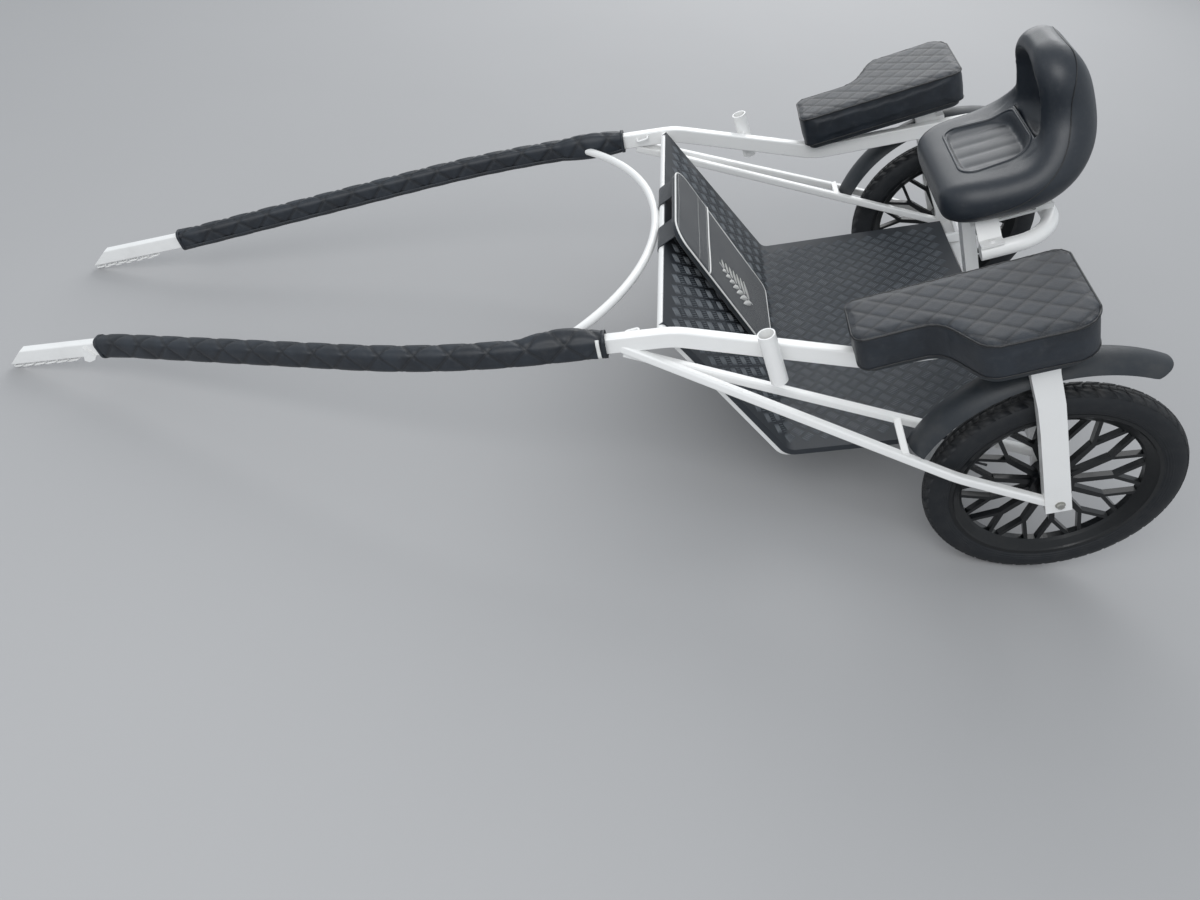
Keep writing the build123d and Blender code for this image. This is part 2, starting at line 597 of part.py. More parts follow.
def make_bag():
    """A flat pouch that leans off the dash, and the two straps that hang it on the crossbar."""
    run, driver = dash_directions()
    base = Vector(PAN_BEND[0], 0, PAN_BEND[1]) + driver * (PAN_T / 2)
    # Drawn with X up along the dash and Y towards the driver.
    profile = Plane(origin=base, x_dir=run, z_dir=(0, -1, 0))
    slab = Polyline((BAG_FOOT, 0), (BAG_FOOT, BAG_T), (BAG_TOP, BAG_STANDOFF + BAG_T),
                    (BAG_TOP, BAG_STANDOFF), close=True)
    solid = extrude(profile * make_face(slab), BAG_W / 2, both=True)
    front = Plane(origin=base + run * ((BAG_FOOT + BAG_TOP) / 2), x_dir=(0, -1, 0), z_dir=driver)
    face = Rectangle(BAG_W, BAG_TOP - BAG_FOOT)
    face = fillet(face.vertices().group_by(Axis.Y)[-1], BAG_TOP_CORNER)
    face = fillet(face.vertices().group_by(Axis.Y)[0], BAG_FOOT_CORNER)
    PARTS["dash_bag"] = solid & extrude(front * face, 2 * (BAG_STANDOFF + BAG_T))
    x, z = crossbar_centre()
    ring = Plane(origin=(x, 0, z), x_dir=run, z_dir=(0, -1, 0))
    inner_r = CROSSBAR_R + BAG_STRAP_GAP
    outer_r = inner_r + BAG_STRAP_T
    to_bag = CROSSBAR_R + PAN_T + BAG_STANDOFF + BAG_T / 2
    band = Circle(outer_r) + Pos(0, CROSSBAR_R / 2) * Rectangle(2 * outer_r, CROSSBAR_R)
    band -= Circle(inner_r) + Pos(0, CROSSBAR_R / 2) * Rectangle(2 * inner_r, CROSSBAR_R)
    band += Pos((inner_r + outer_r) / 2, to_bag / 2) * Rectangle(BAG_STRAP_T, to_bag)
    for s in (1, -1):
        strap = Pos(0, s * BAG_STRAP_Y, 0) * extrude(ring * band, BAG_STRAP_W / 2, both=True)
        PARTS[f"bag_strap_{side(s)}"] = strap - PARTS["floor_pan"] - PARTS["dash_bag"]


def wheel_face():
    """Rim ring, hub disc and Y-shaped spokes, drawn in XY about the wheel's axis."""
    face = Circle(RIM_INNER_R + 10) - Circle(RIM_INNER_R)
    spread = radians(SPOKE_SPREAD_DEG)
    arm_end = (RIM_INNER_R + 4) * cos(spread), (RIM_INNER_R + 4) * sin(spread)
    lean = degrees(atan2(arm_end[1], arm_end[0] - SPOKE_FORK_R))
    length = hypot(arm_end[1], arm_end[0] - SPOKE_FORK_R)
    inner_w, outer_w = STEM_W
    stem = make_face(Polyline((HUB_R - 4, -inner_w / 2), (SPOKE_FORK_R, -outer_w / 2),
                              (SPOKE_FORK_R, outer_w / 2), (HUB_R - 4, inner_w / 2), close=True))
    arm = Pos(length / 2, 0) * Rectangle(length + ARM_W, ARM_W)
    spoke = stem
    for way in (1, -1):
        spoke += Pos(SPOKE_FORK_R, 0) * Rot(0, 0, way * lean) * arm
    for i in range(SPOKES):
        face += Rot(0, 0, SPOKE_PHASE_DEG + 360 * i / SPOKES) * spoke
    return face & Circle(RIM_INNER_R + 10)


def tyre_section():
    """Section of the tyre, as (radius, width) points round one closed line."""
    one = [(BEAD_R, BEAD_W / 2), (BEAD_R + 24, TYRE_WIDTH / 2), (TYRE_R, TYRE_CROWN_W / 2)]
    return one + [(r, -w) for r, w in reversed(one)]


def rim_section():
    """Rim as (radius, width) points: a deep wall, and a lip that leans out with the tyre's bead."""
    half = RIM_WIDTH / 2
    lean = (TYRE_WIDTH - BEAD_W) / 2 / 24
    seat = BEAD_R - 0.3
    one = [(RIM_INNER_R, SPOKE_DEPTH / 2), *RIM_WALL, (FLANGE_R, half),
           (FLANGE_R, BEAD_W / 2 + 0.4 + (FLANGE_R - seat) * lean), (seat, BEAD_W / 2 + 0.4)]
    return one + [(r, -w) for r, w in reversed(one)]


def turned(section):
    """A closed section of (radius, width) points, turned about Z."""
    return revolve(make_face(Polyline(*[(r, 0, w) for r, w in section], close=True)), Axis.Z, 360)


def make_wheels():
    for s in (1, -1):
        place = Pos(0, s * WHEEL_Y, 0) * Rot(90, 0, 0)
        spokes = Pos(0, 0, -SPOKE_DEPTH / 2) * extrude(wheel_face(), SPOKE_DEPTH)
        hub = Cylinder(HUB_R, HUB_WIDTH) + Cylinder(HUB_FLANGE_R, HUB_FLANGE_W)
        wheel = turned(rim_section()) + spokes + hub - Cylinder(BORE_R, 2 * HUB_WIDTH)
        PARTS[f"cast_wheel_{side(s)}"] = place * wheel
        PARTS[f"tyre_{side(s)}"] = place * turned(tyre_section())


def park_angle():
    """The pitch that brings the foremost chain link down to the tyres' level."""
    tip, run, down = nose(1)
    centre = tip + down * ((RAIL_H + LINK_WIDTH) / 2) - run * (LINK_SETBACK + LINK_LENGTH / 2)
    lows = []
    half_l, half_w = LINK_LENGTH / 2, LINK_WIDTH / 2
    for along, across in ((half_l, half_w - LINK_CORNER), (half_l - LINK_CORNER, half_w)):
        corner = centre + run * along + down * across
        lows.append(degrees(atan2(corner.Z, corner.X) + asin(TYRE_R / hypot(corner.X, corner.Z))))
    return min(lows)


def main():
    """Makes every piece and writes it in the parked attitude. Returns the cart's placing."""
    make_shafts()
    make_sleeves()
    make_chains()
    make_lugs()
    make_bow()
    make_crossbar()
    make_staples()
    make_pan()
    make_legs()
    make_axles()
    make_gussets()
    make_seat_stand()
    make_runners()
    make_braces()
    make_guards()
    make_cushions()
    make_holders()
    make_seat()
    make_bag()
    make_wheels()
    pitch = Rot(0, park_angle(), 0)
    parked = {name: pitch * shape for name, shape in PARTS.items()}
    boxes = [shape.bounding_box() for shape in parked.values()]
    x_low = min(box.min.X for box in boxes)
    x_high = max(box.max.X for box in boxes)
    z_low = min(box.min.Z for box in boxes)
    shift = Pos(-(x_low + x_high) / 2, 0, -z_low)
    os.makedirs("parts", exist_ok=True)
    for name, shape in parked.items():
        export_step(shift * shape, f"parts/{name}.step")
    return shift * pitch


PLACE = main()
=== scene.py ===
"""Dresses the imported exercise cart: paint, padded vinyl, tread plate, tyres, chains, bag and studio.

Sizes are in millimetres in the driving attitude, with X forward, Y to the cart's left and the
origin on the axle line. The cart is parked nose down, so every piece is pitched with it.
"""

import json
import math

import bmesh
import bpy
from bpy.props import FloatProperty, FloatVectorProperty, IntProperty, PointerProperty
from mathutils import Matrix, Vector
from mathutils.bvhtree import BVHTree

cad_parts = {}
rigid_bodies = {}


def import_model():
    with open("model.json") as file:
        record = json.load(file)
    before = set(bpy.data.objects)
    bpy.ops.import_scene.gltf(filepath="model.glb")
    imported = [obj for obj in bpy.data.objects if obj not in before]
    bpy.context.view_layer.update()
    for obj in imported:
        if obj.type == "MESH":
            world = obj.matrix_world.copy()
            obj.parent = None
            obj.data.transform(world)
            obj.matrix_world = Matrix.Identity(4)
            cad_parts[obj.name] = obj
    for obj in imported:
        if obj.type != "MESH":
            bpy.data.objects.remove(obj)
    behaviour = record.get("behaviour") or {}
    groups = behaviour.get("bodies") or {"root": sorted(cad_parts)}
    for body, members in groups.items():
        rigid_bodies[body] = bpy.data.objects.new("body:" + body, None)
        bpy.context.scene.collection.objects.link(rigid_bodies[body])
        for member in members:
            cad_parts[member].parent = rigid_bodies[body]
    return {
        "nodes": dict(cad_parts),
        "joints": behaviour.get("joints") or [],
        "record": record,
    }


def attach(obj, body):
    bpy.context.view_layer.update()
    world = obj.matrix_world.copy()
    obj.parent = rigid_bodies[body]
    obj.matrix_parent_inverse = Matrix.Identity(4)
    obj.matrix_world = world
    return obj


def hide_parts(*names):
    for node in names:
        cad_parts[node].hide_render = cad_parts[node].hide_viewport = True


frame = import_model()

bl_info = {
    "name": "Exercise Cart Dressing",
    "version": (1, 0, 0),
    "blender": (4, 5, 0),
    "location": "3D View > Sidebar > Cart",
    "description": "Paint, upholstery, tyres, tread plate and studio for a parked exercise cart",
    "category": "Object",
}

MM = 0.001
SIDES = (("left", 1), ("right", -1))
RECORD = frame["record"]
AXLE = Vector((frame["joints"][0]["pos_m"][0], 0, frame["joints"][0]["pos_m"][2]))
SOCKET_AXIS = next(m["axis"] for m in RECORD["mounts"] if m["name"] == "whip_socket_left")
PITCH = math.atan2(SOCKET_AXIS[0], SOCKET_AXIS[2])
PARK = Matrix.Translation(AXLE) @ Matrix.Rotation(PITCH, 4, "Y")

WHEEL_Y = 566
TYRE_RADIUS = 275
AXLE_BOLT_Y = 640
SPOKES = 13
SPOKE_GAP_DEG = 21.4 + 180 / SPOKES
VALVE_RADIUS = 190.5
RAIL_HEIGHT = 40
SHAFT_LINE = [(-100, 484, 348), (328, 484, 398), (700, 484, 577), (1207, 484, 665), (2120, 260, 824),
              (2443, 238, 869)]
SHAFT_RADII = [200, 180, 2000, 700]
SLEEVE_X = (842, 2150)
LUMP_X, LUMP_REACH, LUMP_HEIGHT = 940, 86, 13
LINK_COUNT, LINK_LENGTH, LINK_WIDTH = 11, 28.5, 17
DASH_BEND = Vector((543, 0, 151.5))
DASH_TOP = Vector((717, 0, 600))
PAN_REAR = Vector((20, 0, 73.5))
PLATE_BEND = 30.0
HALF_PLATE = 1.5
PLATE_WIDTH = 900

CLOTH_FRAMES = 20
CAMERA_TURN_DEG = (44.09, -1.33, -6.71)
CAMERA_PLACE = (AXLE.x + 1.041, 2.021, 1.639)
FOCAL_SHARE = 900 / 1200


# Points and meshes

def parked(points):
    """Points in millimetres in the driving attitude, as metres in the parked frame."""
    return [PARK @ (Vector(p) * MM) for p in points]


def rounded(points, radii, step, closed=False):
    """Points about step apart along straight runs whose corners are rounded."""
    points = [Vector(p) for p in points]
    count = len(points)
    corners = range(count) if closed else range(1, count - 1)
    line = [] if closed else [points[0]]
    for i, radius in zip(corners, radii):
        before, here, after = points[i - 1], points[i], points[(i + 1) % count]
        a, b = (here - before).normalized(), (after - here).normalized()
        turn = a.angle(b)
        reach = radius * math.tan(turn / 2)
        start = here - a * reach
        inward = (b - a * a.dot(b)).normalized()
        pieces = max(2, int(radius * turn / step))
        for k in range(pieces + 1):
            angle = turn * k / pieces
            line.append(start + a * (radius * math.sin(angle)) + inward * (radius * (1 - math.cos(angle))))
    if not closed:
        line.append(points[-1])
    return evenly(line, step, closed)


def evenly(line, step, closed=False):
    """The same line with its points evenly spaced."""
    line = [Vector(p) for p in line] + ([Vector(line[0])] if closed else [])
    lengths = [(b - a).length for a, b in zip(line, line[1:])]
    total = sum(lengths)
    count = max(2, round(total / step))
    even, walked, i = [], 0, 0
    for k in range(count + (0 if closed else 1)):
        target = total * k / count
        while i < len(lengths) - 1 and walked + lengths[i] < target:
            walked += lengths[i]
            i += 1
        share = (target - walked) / lengths[i] if lengths[i] else 0
        even.append(line[i].lerp(line[i + 1], min(1, max(0, share))))
    return even


def length_of(line, closed=False):
    """Length along a line of points."""
    return sum((b - a).length for a, b in zip(line, line[1:] + (line[:1] if closed else [])))


def bell(value, middle, reach):
    """1 at the middle, falling off smoothly over reach."""
    return math.exp(-((value - middle) / reach) ** 2)


def grid_faces(rows, columns, start=0):
    """Quads of a grid whose points run row by row. The rows and columns are counted in quads."""
    wide = columns + 1
    return [(a, a + 1, a + wide + 1, a + wide)
            for i in range(rows) for a in range(start + i * wide, start + i * wide + columns)]


def linked(name, data):
    """A new object at the origin, in the scene."""
    obj = bpy.data.objects.new(name, data)
    bpy.context.scene.collection.objects.link(obj)
    return obj


def reworked(mesh, change):
    """Opens a mesh, runs a change on it and writes it back."""
    edit = bmesh.new()
    edit.from_mesh(mesh)
    change(edit)
    edit.to_mesh(mesh)
    edit.free()


def mesh_object(name, vertices, faces, uvs=None):
    """An object at the origin from points in the parked frame, its faces outwards."""
    mesh = bpy.data.meshes.new(name)
    mesh.from_pydata([tuple(v) for v in vertices], [], faces)
    if uvs:
        layer = mesh.uv_layers.new(name="UVMap")
        for loop in mesh.loops:
            layer.data[loop.index].uv = uvs[loop.vertex_index]
    reworked(mesh, lambda edit: bmesh.ops.recalc_face_normals(edit, faces=edit.faces))
    obj = linked(name, mesh)
    smooth(obj)
    return obj


def smooth(obj):
    obj.data.polygons.foreach_set("use_smooth", [True] * len(obj.data.polygons))


def baked(obj, name=None):
    """The object with its modifiers made part of a plain mesh."""
    bpy.context.view_layer.update()
    graph = bpy.context.evaluated_depsgraph_get()
    mesh = bpy.data.meshes.new_from_object(obj.evaluated_get(graph), depsgraph=graph)
    mesh.name = name or obj.name
    if obj.type == "MESH":
        obj.modifiers.clear()
        obj.data = mesh
        return obj
    made = linked(name or obj.name, mesh)
    bpy.data.objects.remove(obj)
    return made


def joined(name, objects):
    """Several meshes as one object."""
    edit = bmesh.new()
    materials = []
    for obj in objects:
        start = len(edit.faces)
        edit.from_mesh(obj.data)
        edit.faces.ensure_lookup_table()
        offset = len(materials)
        materials += list(obj.data.materials)
        for face in edit.faces[start:]:
            face.material_index += offset
    mesh = bpy.data.meshes.new(name)
    edit.to_mesh(mesh)
    edit.free()
    for material in materials:
        mesh.materials.append(material)
    for obj in objects:
        bpy.data.objects.remove(obj)
    return linked(name, mesh)


def tube(name, points, radius, closed=False, resolution=2):
    """A round cord of piping or wire along points in the parked frame."""
    curve = bpy.data.curves.new(name, "CURVE")
    curve.dimensions = "3D"
    spline = curve.splines.new("POLY")
    spline.points.add(len(points) - 1)
    for point, place in zip(spline.points, points):
        point.co = (*place, 1)
    spline.use_cyclic_u = closed
    curve.bevel_depth = radius * MM
    curve.bevel_resolution = resolution
    curve.use_fill_caps = not closed
    made = baked(linked(name + ".line", curve), name)
    smooth(made)
    return made


def turned(name, profile, y, segments):
    """A closed profile of (radius, width) points turned about the axle line at y."""
    count = len(profile)
    vertices, faces = [], []
    for k in range(segments):
        angle = 2 * math.pi * k / segments
        vertices += [(r * math.cos(angle), y + w, r * math.sin(angle)) for r, w in profile]
    for k in range(segments):
        a, b = k * count, (k + 1) % segments * count
        for i in range(count):
            j = (i + 1) % count
            faces.append((a + i, a + j, b + j, b + i))
    return mesh_object(name, parked(vertices), faces)


def copy_of(node, name):
    """A copy of a CAD node's mesh with its doubles merged."""
    mesh = frame["nodes"][node].data.copy()
    reworked(mesh, lambda edit: bmesh.ops.remove_doubles(edit, verts=edit.verts, dist=1e-5))
    mesh.materials.clear()
    return linked(name, mesh)


def remeshed(obj, voxel):
    """The object as an even grid of quads, voxel millimetres apart."""
    modifier = obj.modifiers.new("Grid", "REMESH")
    modifier.mode = "VOXEL"
    modifier.voxel_size = voxel * MM
    return baked(obj)


def relaxed(obj, rounds):
    """The object with its edges softened."""
    modifier = obj.modifiers.new("Relax", "SMOOTH")
    modifier.factor = 0.5
    modifier.iterations = rounds
    return baked(obj)


def subdivided(obj):
    """The object with each face split in four."""
    modifier = obj.modifiers.new("Finer", "SUBSURF")
    modifier.levels = modifier.render_levels = 1
    return baked(obj)


def stuffed(obj, pressure, cap):
    """The cover blown up by its stuffing as simulated cloth, no point moving over cap millimetres."""
    scene = bpy.context.scene
    cloth = obj.modifiers.new("Stuffing", "CLOTH")
    cloth.settings.use_pressure = True
    cloth.settings.uniform_pressure_force = pressure
    cloth.settings.effector_weights.gravity = 0
    cloth.point_cache.frame_start = 1
    cloth.point_cache.frame_end = CLOTH_FRAMES
    for number in range(1, CLOTH_FRAMES + 1):
        scene.frame_set(number)
    graph = bpy.context.evaluated_depsgraph_get()
    blown = obj.evaluated_get(graph).to_mesh()
    places = [v.co.copy() for v in blown.vertices]
    obj.evaluated_get(graph).to_mesh_clear()
    obj.modifiers.clear()
    for vertex, place in zip(obj.data.vertices, places):
        move = place - vertex.co
        if move.length > cap * MM:
            move *= cap * MM / move.length
        vertex.co += move
    scene.frame_set(1)
    return obj


def mirrored(obj, name):
    """The same piece for the other side of the cart."""
    mesh = obj.data.copy()
    mesh.transform(Matrix.Diagonal((1, -1, 1, 1)))
    mesh.flip_normals()
    return linked(name, mesh)


def surface_of(obj):
    """A tree that answers where the object's surface is nearest."""
    return BVHTree.FromObject(obj, bpy.context.evaluated_depsgraph_get())


def laid_on(tree, points, lift):
    """Points moved on to a surface, and then out of it by lift millimetres."""
    laid = []
    for point in points:
        place, normal, _, _ = tree.find_nearest(point)
        laid.append(place + normal * (lift * MM))
    return laid


def relaxed_line(points, rounds):
    """A closed line with its corners cut, each round halving them."""
    for _ in range(rounds):
        points = [Vector(a).lerp(Vector(b), share) for a, b in zip(points, points[1:] + points[:1])
                  for share in (0.25, 0.75)]
    return points


# Node trees

class Net:
    """A node tree in the making. A node's settings are set before its inputs."""

    def __init__(self, tree):
        self.tree = tree

    def node(self, kind, settings=None, inputs=None):
        made = self.tree.nodes.new(kind)
        for key, value in (settings or {}).items():
            setattr(made, key, value)
        for key, value in (inputs or {}).items():
            self.feed(made.inputs[key], value)
        return made

    def feed(self, socket, value):
        if isinstance(value, Value):
            value = value.socket
        if isinstance(value, bpy.types.NodeSocket):
            self.tree.links.new(value, socket)
        else:
            socket.default_value = value

    def vector(self, **parts):
        """A vector made of its X, Y and Z."""
        return self.node("ShaderNodeCombineXYZ", inputs=parts).outputs[0]

    def parts(self, vector):
        """The X, Y and Z of a vector."""
        return [Value(self, part) for part in self.node("ShaderNodeSeparateXYZ", inputs={0: vector}).outputs]


class Value:
    """A number that changes over a surface. Python's operators add the Math nodes."""

    def __init__(self, net, socket):
        self.net = net
        self.socket = socket

    def of(self, operation, *operands, clamp=False):
        node = self.net.node("ShaderNodeMath", {"operation": operation, "use_clamp": clamp},
                             dict(enumerate(operands)))
        return Value(self.net, node.outputs[0])

    def __add__(self, other):
        return self.of("ADD", self, other)

    __radd__ = __add__

    def __sub__(self, other):
        return self.of("SUBTRACT", self, other)

    def __rsub__(self, other):
        return self.of("SUBTRACT", other, self)

    def __mul__(self, other):
        return self.of("MULTIPLY", self, other)

    __rmul__ = __mul__

    def __truediv__(self, other):
        return self.of("DIVIDE", self, other)

    def __rtruediv__(self, other):
        return self.of("DIVIDE", other, self)

    def __pow__(self, other):
        return self.of("POWER", self, other)

    def __lt__(self, other):
        return self.of("LESS_THAN", self, other)

    def __gt__(self, other):
        return self.of("GREATER_THAN", self, other)

    def __abs__(self):
        return self.of("ABSOLUTE", self)

    def fraction(self):
        return self.of("FRACT", self)

    def sine(self):
        return self.of("SINE", self)

    def root(self):
        return self.of("SQRT", self)

    def clamped(self):
        return self.of("ADD", self, 0.0, clamp=True)


class Finish(Net):
    """A material with one Principled shader."""

    def __init__(self, name, colour, **constants):
        self.material = bpy.data.materials.new(name)
        self.material.use_nodes = True
        super().__init__(self.material.node_tree)
        self.tree.nodes.clear()
        self.shader = self.node("ShaderNodeBsdfPrincipled", inputs={"Base Color": (*colour, 1)})
        self.node("ShaderNodeOutputMaterial", inputs={"Surface": self.shader.outputs[0]})
        for key, value in constants.items():
            self.shader.inputs[key.replace("_", " ")].default_value = value
        self.material.diffuse_color = (*colour, 1)
        self.objects = self.node("ShaderNodeTexCoord").outputs["Object"]
        turn_back = Matrix.Rotation(-PITCH, 3, "Y")
        self.drive = self.node("ShaderNodeMapping", {"vector_type": "POINT"}, {
            "Vector": self.objects, "Location": -(turn_back @ AXLE), "Rotation": (0, -PITCH, 0),
        }).outputs[0]

    def axes(self):
        """The three coordinates in millimetres, in the driving attitude."""
        return [part * 1000 for part in self.parts(self.drive)]

    def surface_map(self):
        """The piece's own map, in millimetres along and across."""
        u, v, _ = self.parts(self.node("ShaderNodeUVMap").outputs[0])
        return u * 1000, v * 1000

    def noise(self, scale, detail=2.0, roughness=0.5):
        made = self.node("ShaderNodeTexNoise", inputs={
            "Vector": self.objects, "Scale": scale, "Detail": detail, "Roughness": roughness})
        return Value(self, made.outputs[0])

    def cells(self, scale, feature="F1"):
        made = self.node("ShaderNodeTexVoronoi", {"feature": feature},
                         {"Vector": self.objects, "Scale": scale})
        return Value(self, made.outputs["Distance"])

    def ramp(self, value, low, high):
        """0 where the value is below low, 1 above high, and smooth between."""
        made = self.node("ShaderNodeMapRange", {"interpolation_type": "SMOOTHSTEP"},
                         {"Value": value, "From Min": low, "From Max": high})
        return Value(self, made.outputs[0])

    def blend(self, share, one, other):
        """A colour between two colours."""
        made = self.node("ShaderNodeMix", {"data_type": "RGBA"}, {0: share})
        for index, colour in ((6, one), (7, other)):
            linked_in = isinstance(colour, bpy.types.NodeSocket)
            self.feed(made.inputs[index], colour if linked_in else (*colour, 1))
        return made.outputs[2]

    def relief(self, *heights):
        """Bumps on the surface: pairs of a height from 0 to 1 and its depth in millimetres."""
        normal = None
        for height, depth in heights:
            inputs = {"Height": height, "Distance": depth * MM, "Strength": 1.0}
            if normal:
                inputs["Normal"] = normal
            normal = self.node("ShaderNodeBump", inputs=inputs).outputs[0]
        self.feed(self.shader.inputs["Normal"], normal)

    def colour(self, value):
        self.feed(self.shader.inputs["Base Color"], value)

    def roughness(self, value):
        self.feed(self.shader.inputs["Roughness"], value)


def diamonds(u, v, along, across):
    """How far a point is from each way's nearest seam in a diamond lattice, from 0 on it to 0.5."""
    ways = u / along + v / across, u / along - v / across
    return [0.5 - abs((way.fraction() if isinstance(way, Value) else way % 1) - 0.5) for way in ways]


# Materials

def white_paint():
    """Gloss powder coat on welded steel, with a little road film low down."""
    look = bpy.context.scene.cart_paint
    skin = Finish("white_powder_coat", look.frame_colour, Coat_Weight=0.35, Coat_Roughness=0.12,
                  Specular_IOR_Level=0.5)
    height = skin.parts(skin.objects)[2]
    low = 1 - skin.ramp(height, 0.02, 0.4)
    film = skin.ramp(skin.noise(9, 5, 0.6), 0.42, 0.75) * (0.05 + 0.15 * low)
    speck = skin.ramp(skin.noise(160, 3, 0.7), 0.68, 0.76) * 0.35
    chips = skin.ramp(skin.noise(70, 4, 0.75), 0.735, 0.75)
    colour = skin.blend(film, look.frame_colour, (0.47, 0.45, 0.42))
    colour = skin.blend(speck * (0.2 + 0.8 * low), colour, (0.36, 0.34, 0.31))
    skin.colour(skin.blend(chips * 0.5, colour, (0.20, 0.19, 0.18)))
    skin.roughness(0.24 + 0.25 * film + 0.10 * skin.noise(22, 3))
    skin.relief((skin.noise(420, 2), 0.05), (1 - chips, 0.10))
    return skin.material


def leather(name, quilted):
    """Black grained vinyl. Where it is quilted, by its map or on its top, stitches show along the sunken
    seams, and the colour there is painted darker as shade.
    """
    look = bpy.context.scene.cart_padding
    skin = Finish(name, look.vinyl_colour, Specular_IOR_Level=0.5, Coat_Weight=0.08, Coat_Roughness=0.35)
    pores = skin.cells(780)
    creases = skin.cells(320, "DISTANCE_TO_EDGE")
    cloudy = skin.noise(14, 4, 0.6)
    dust = skin.ramp(skin.noise(60, 5, 0.7), 0.48, 0.8)
    colour = skin.blend(skin.ramp(cloudy, 0.3, 0.75), look.vinyl_colour, look.vinyl_light)
    colour = skin.blend(dust * 0.16, colour, (0.11, 0.11, 0.11))
    bumps = [(skin.ramp(creases, 0.0, 0.16), 0.10), (pores, 0.10), (skin.noise(45, 4, 0.6), 0.5)]
    rough = 0.40 + 0.16 * cloudy + 0.12 * dust
    if quilted == "map":
        u, v = skin.surface_map()
        along, across = look.sleeve_diamond
        facing = 1.0
    elif quilted == "top":
        u, v, _ = skin.axes()
        along, across = look.cushion_diamond
        normal = skin.node("ShaderNodeNewGeometry").outputs["True Normal"]
        up = skin.node("ShaderNodeVectorMath", {"operation": "DOT_PRODUCT"}, {
            0: normal, 1: tuple(SOCKET_AXIS)})
        facing = Value(skin, up.outputs["Value"]) > 0.6
    if quilted:
        mask, seam_shade = 0.0, 0.0
        pitch = along * across / math.hypot(along, across)
        for share, turn in zip(diamonds(u, v, along, across), (1, -1)):
            off = share * pitch
            run = (u / along - turn * (v / across)) * (0.5 * math.hypot(along, across))
            thread = (off < look.thread_width) * ((run / look.stitch_length).fraction() < 0.68)
            mask = thread + mask
            # Painted shade mask: 1 on a seam, fading out 7 mm from it.
            seam_shade = (1 - skin.ramp(off, 0.0, 7.0)) + seam_shade
        mask = (mask * facing).clamped()
        # Painted shade: the colour darkens along the sunken seams, standing in for the shade there.
        colour = skin.blend((seam_shade * facing).clamped() * 0.6, colour, (0.003, 0.004, 0.006))
        colour = skin.blend(mask * 0.4, colour, (0.05, 0.053, 0.06))
        bumps.append((mask, 0.45))
    skin.colour(colour)
    skin.roughness(rough)
    skin.relief(*bumps)
    return skin.material


def moulded_vinyl():
    """The seat's self-skinned foam: finer grain and a soft shine."""
    look = bpy.context.scene.cart_padding
    skin = Finish("moulded_seat_skin", look.seat_colour, Specular_IOR_Level=0.5, Coat_Weight=0.15,
                  Coat_Roughness=0.3)
    cloudy = skin.noise(11, 4, 0.55)
    dust = skin.ramp(skin.noise(85, 5, 0.7), 0.5, 0.78)
    colour = skin.blend(cloudy, look.seat_colour, look.vinyl_light)
    skin.colour(skin.blend(dust * 0.14, colour, (0.12, 0.12, 0.12)))
    skin.roughness(0.33 + 0.14 * cloudy + 0.14 * dust)
    creases = skin.ramp(skin.cells(420, "DISTANCE_TO_EDGE"), 0, 0.14)
    skin.relief((skin.cells(950), 0.09), (creases, 0.05), (skin.noise(24, 3), 0.5))
    return skin.material


def piping_material(name, colour, rough):
    """Extruded piping over a cord, with a faint pull from the stitches."""
    skin = Finish(name, colour, Specular_IOR_Level=0.5)
    pulls = skin.noise(260, 2)
    skin.colour(skin.blend(skin.noise(30, 4), colour, [c * 0.78 for c in colour]))
    skin.roughness(rough + 0.15 * pulls)
    skin.relief((pulls, 0.25))
    return skin.material


def bag_cloth(name, weave):
    """Plain-woven nylon with its threads, slack folds and lint."""
    look = bpy.context.scene.cart_bag
    skin = Finish(name, look.cloth_colour, Sheen_Weight=0.25, Sheen_Roughness=0.5, Specular_IOR_Level=0.35)
    run = (DASH_TOP - DASH_BEND).normalized()
    x, y, z = skin.axes()
    up = x * run.x + z * run.z
    warp = abs((up / weave).fraction() - 0.5) * 2
    weft = abs((y / weave + 500.0).fraction() - 0.5) * 2
    over = ((up / weave / 2).fraction() - 0.5) * ((y / weave / 2 + 500.0).fraction() - 0.5) > 0
    threads = over * (1 - warp ** 2) + (1 - over) * (1 - weft ** 2)
    lint = skin.ramp(skin.noise(120, 5, 0.75), 0.6, 0.72)
    cloudy = skin.noise(17, 4, 0.6)
    colour = skin.blend(cloudy, look.cloth_colour, [c * 1.7 for c in look.cloth_colour])
    colour = skin.blend(0.35 * (1 - threads), colour, (0.008, 0.008, 0.009))
    skin.colour(skin.blend(lint * 0.18, colour, (0.22, 0.22, 0.22)))
    skin.roughness(0.72 + 0.15 * cloudy)
    skin.relief((threads, 0.18), (skin.noise(28, 4, 0.6), 1.2))
    return skin.material


def tread_plate(name, wear):
    """Black powder coat on rolled tread plate. Wear shows its scuffs, most where boots touch it."""
    look = bpy.context.scene.cart_plate
    skin = Finish(name, look.plate_colour, Specular_IOR_Level=0.5, Coat_Weight=0.12, Coat_Roughness=0.3)
    _, y, _ = skin.axes()
    boots = 1 - skin.ramp(abs(abs(y) - 150.0), 40, 230)
    scuffs = skin.ramp(skin.noise(24, 6, 0.7), 0.45, 0.8) * (0.35 + 0.65 * boots)
    fine = skin.ramp(skin.noise(330, 4, 0.7), 0.52, 0.75)
    film = skin.ramp(skin.noise(6, 5, 0.6), 0.35, 0.75)
    colour = skin.blend(film * 0.5, look.plate_colour, (0.030, 0.034, 0.040))
    rubbed = (0.5 * scuffs + 0.4 * fine * scuffs + 0.5).clamped() * wear
    skin.colour(skin.blend(rubbed, colour, (0.25, 0.28, 0.31)))
    skin.roughness(0.62 - 0.3 * wear + 0.18 * film)
    skin.relief((skin.noise(520, 3), 0.06), (skin.noise(60, 3), 0.12))
    return skin.material


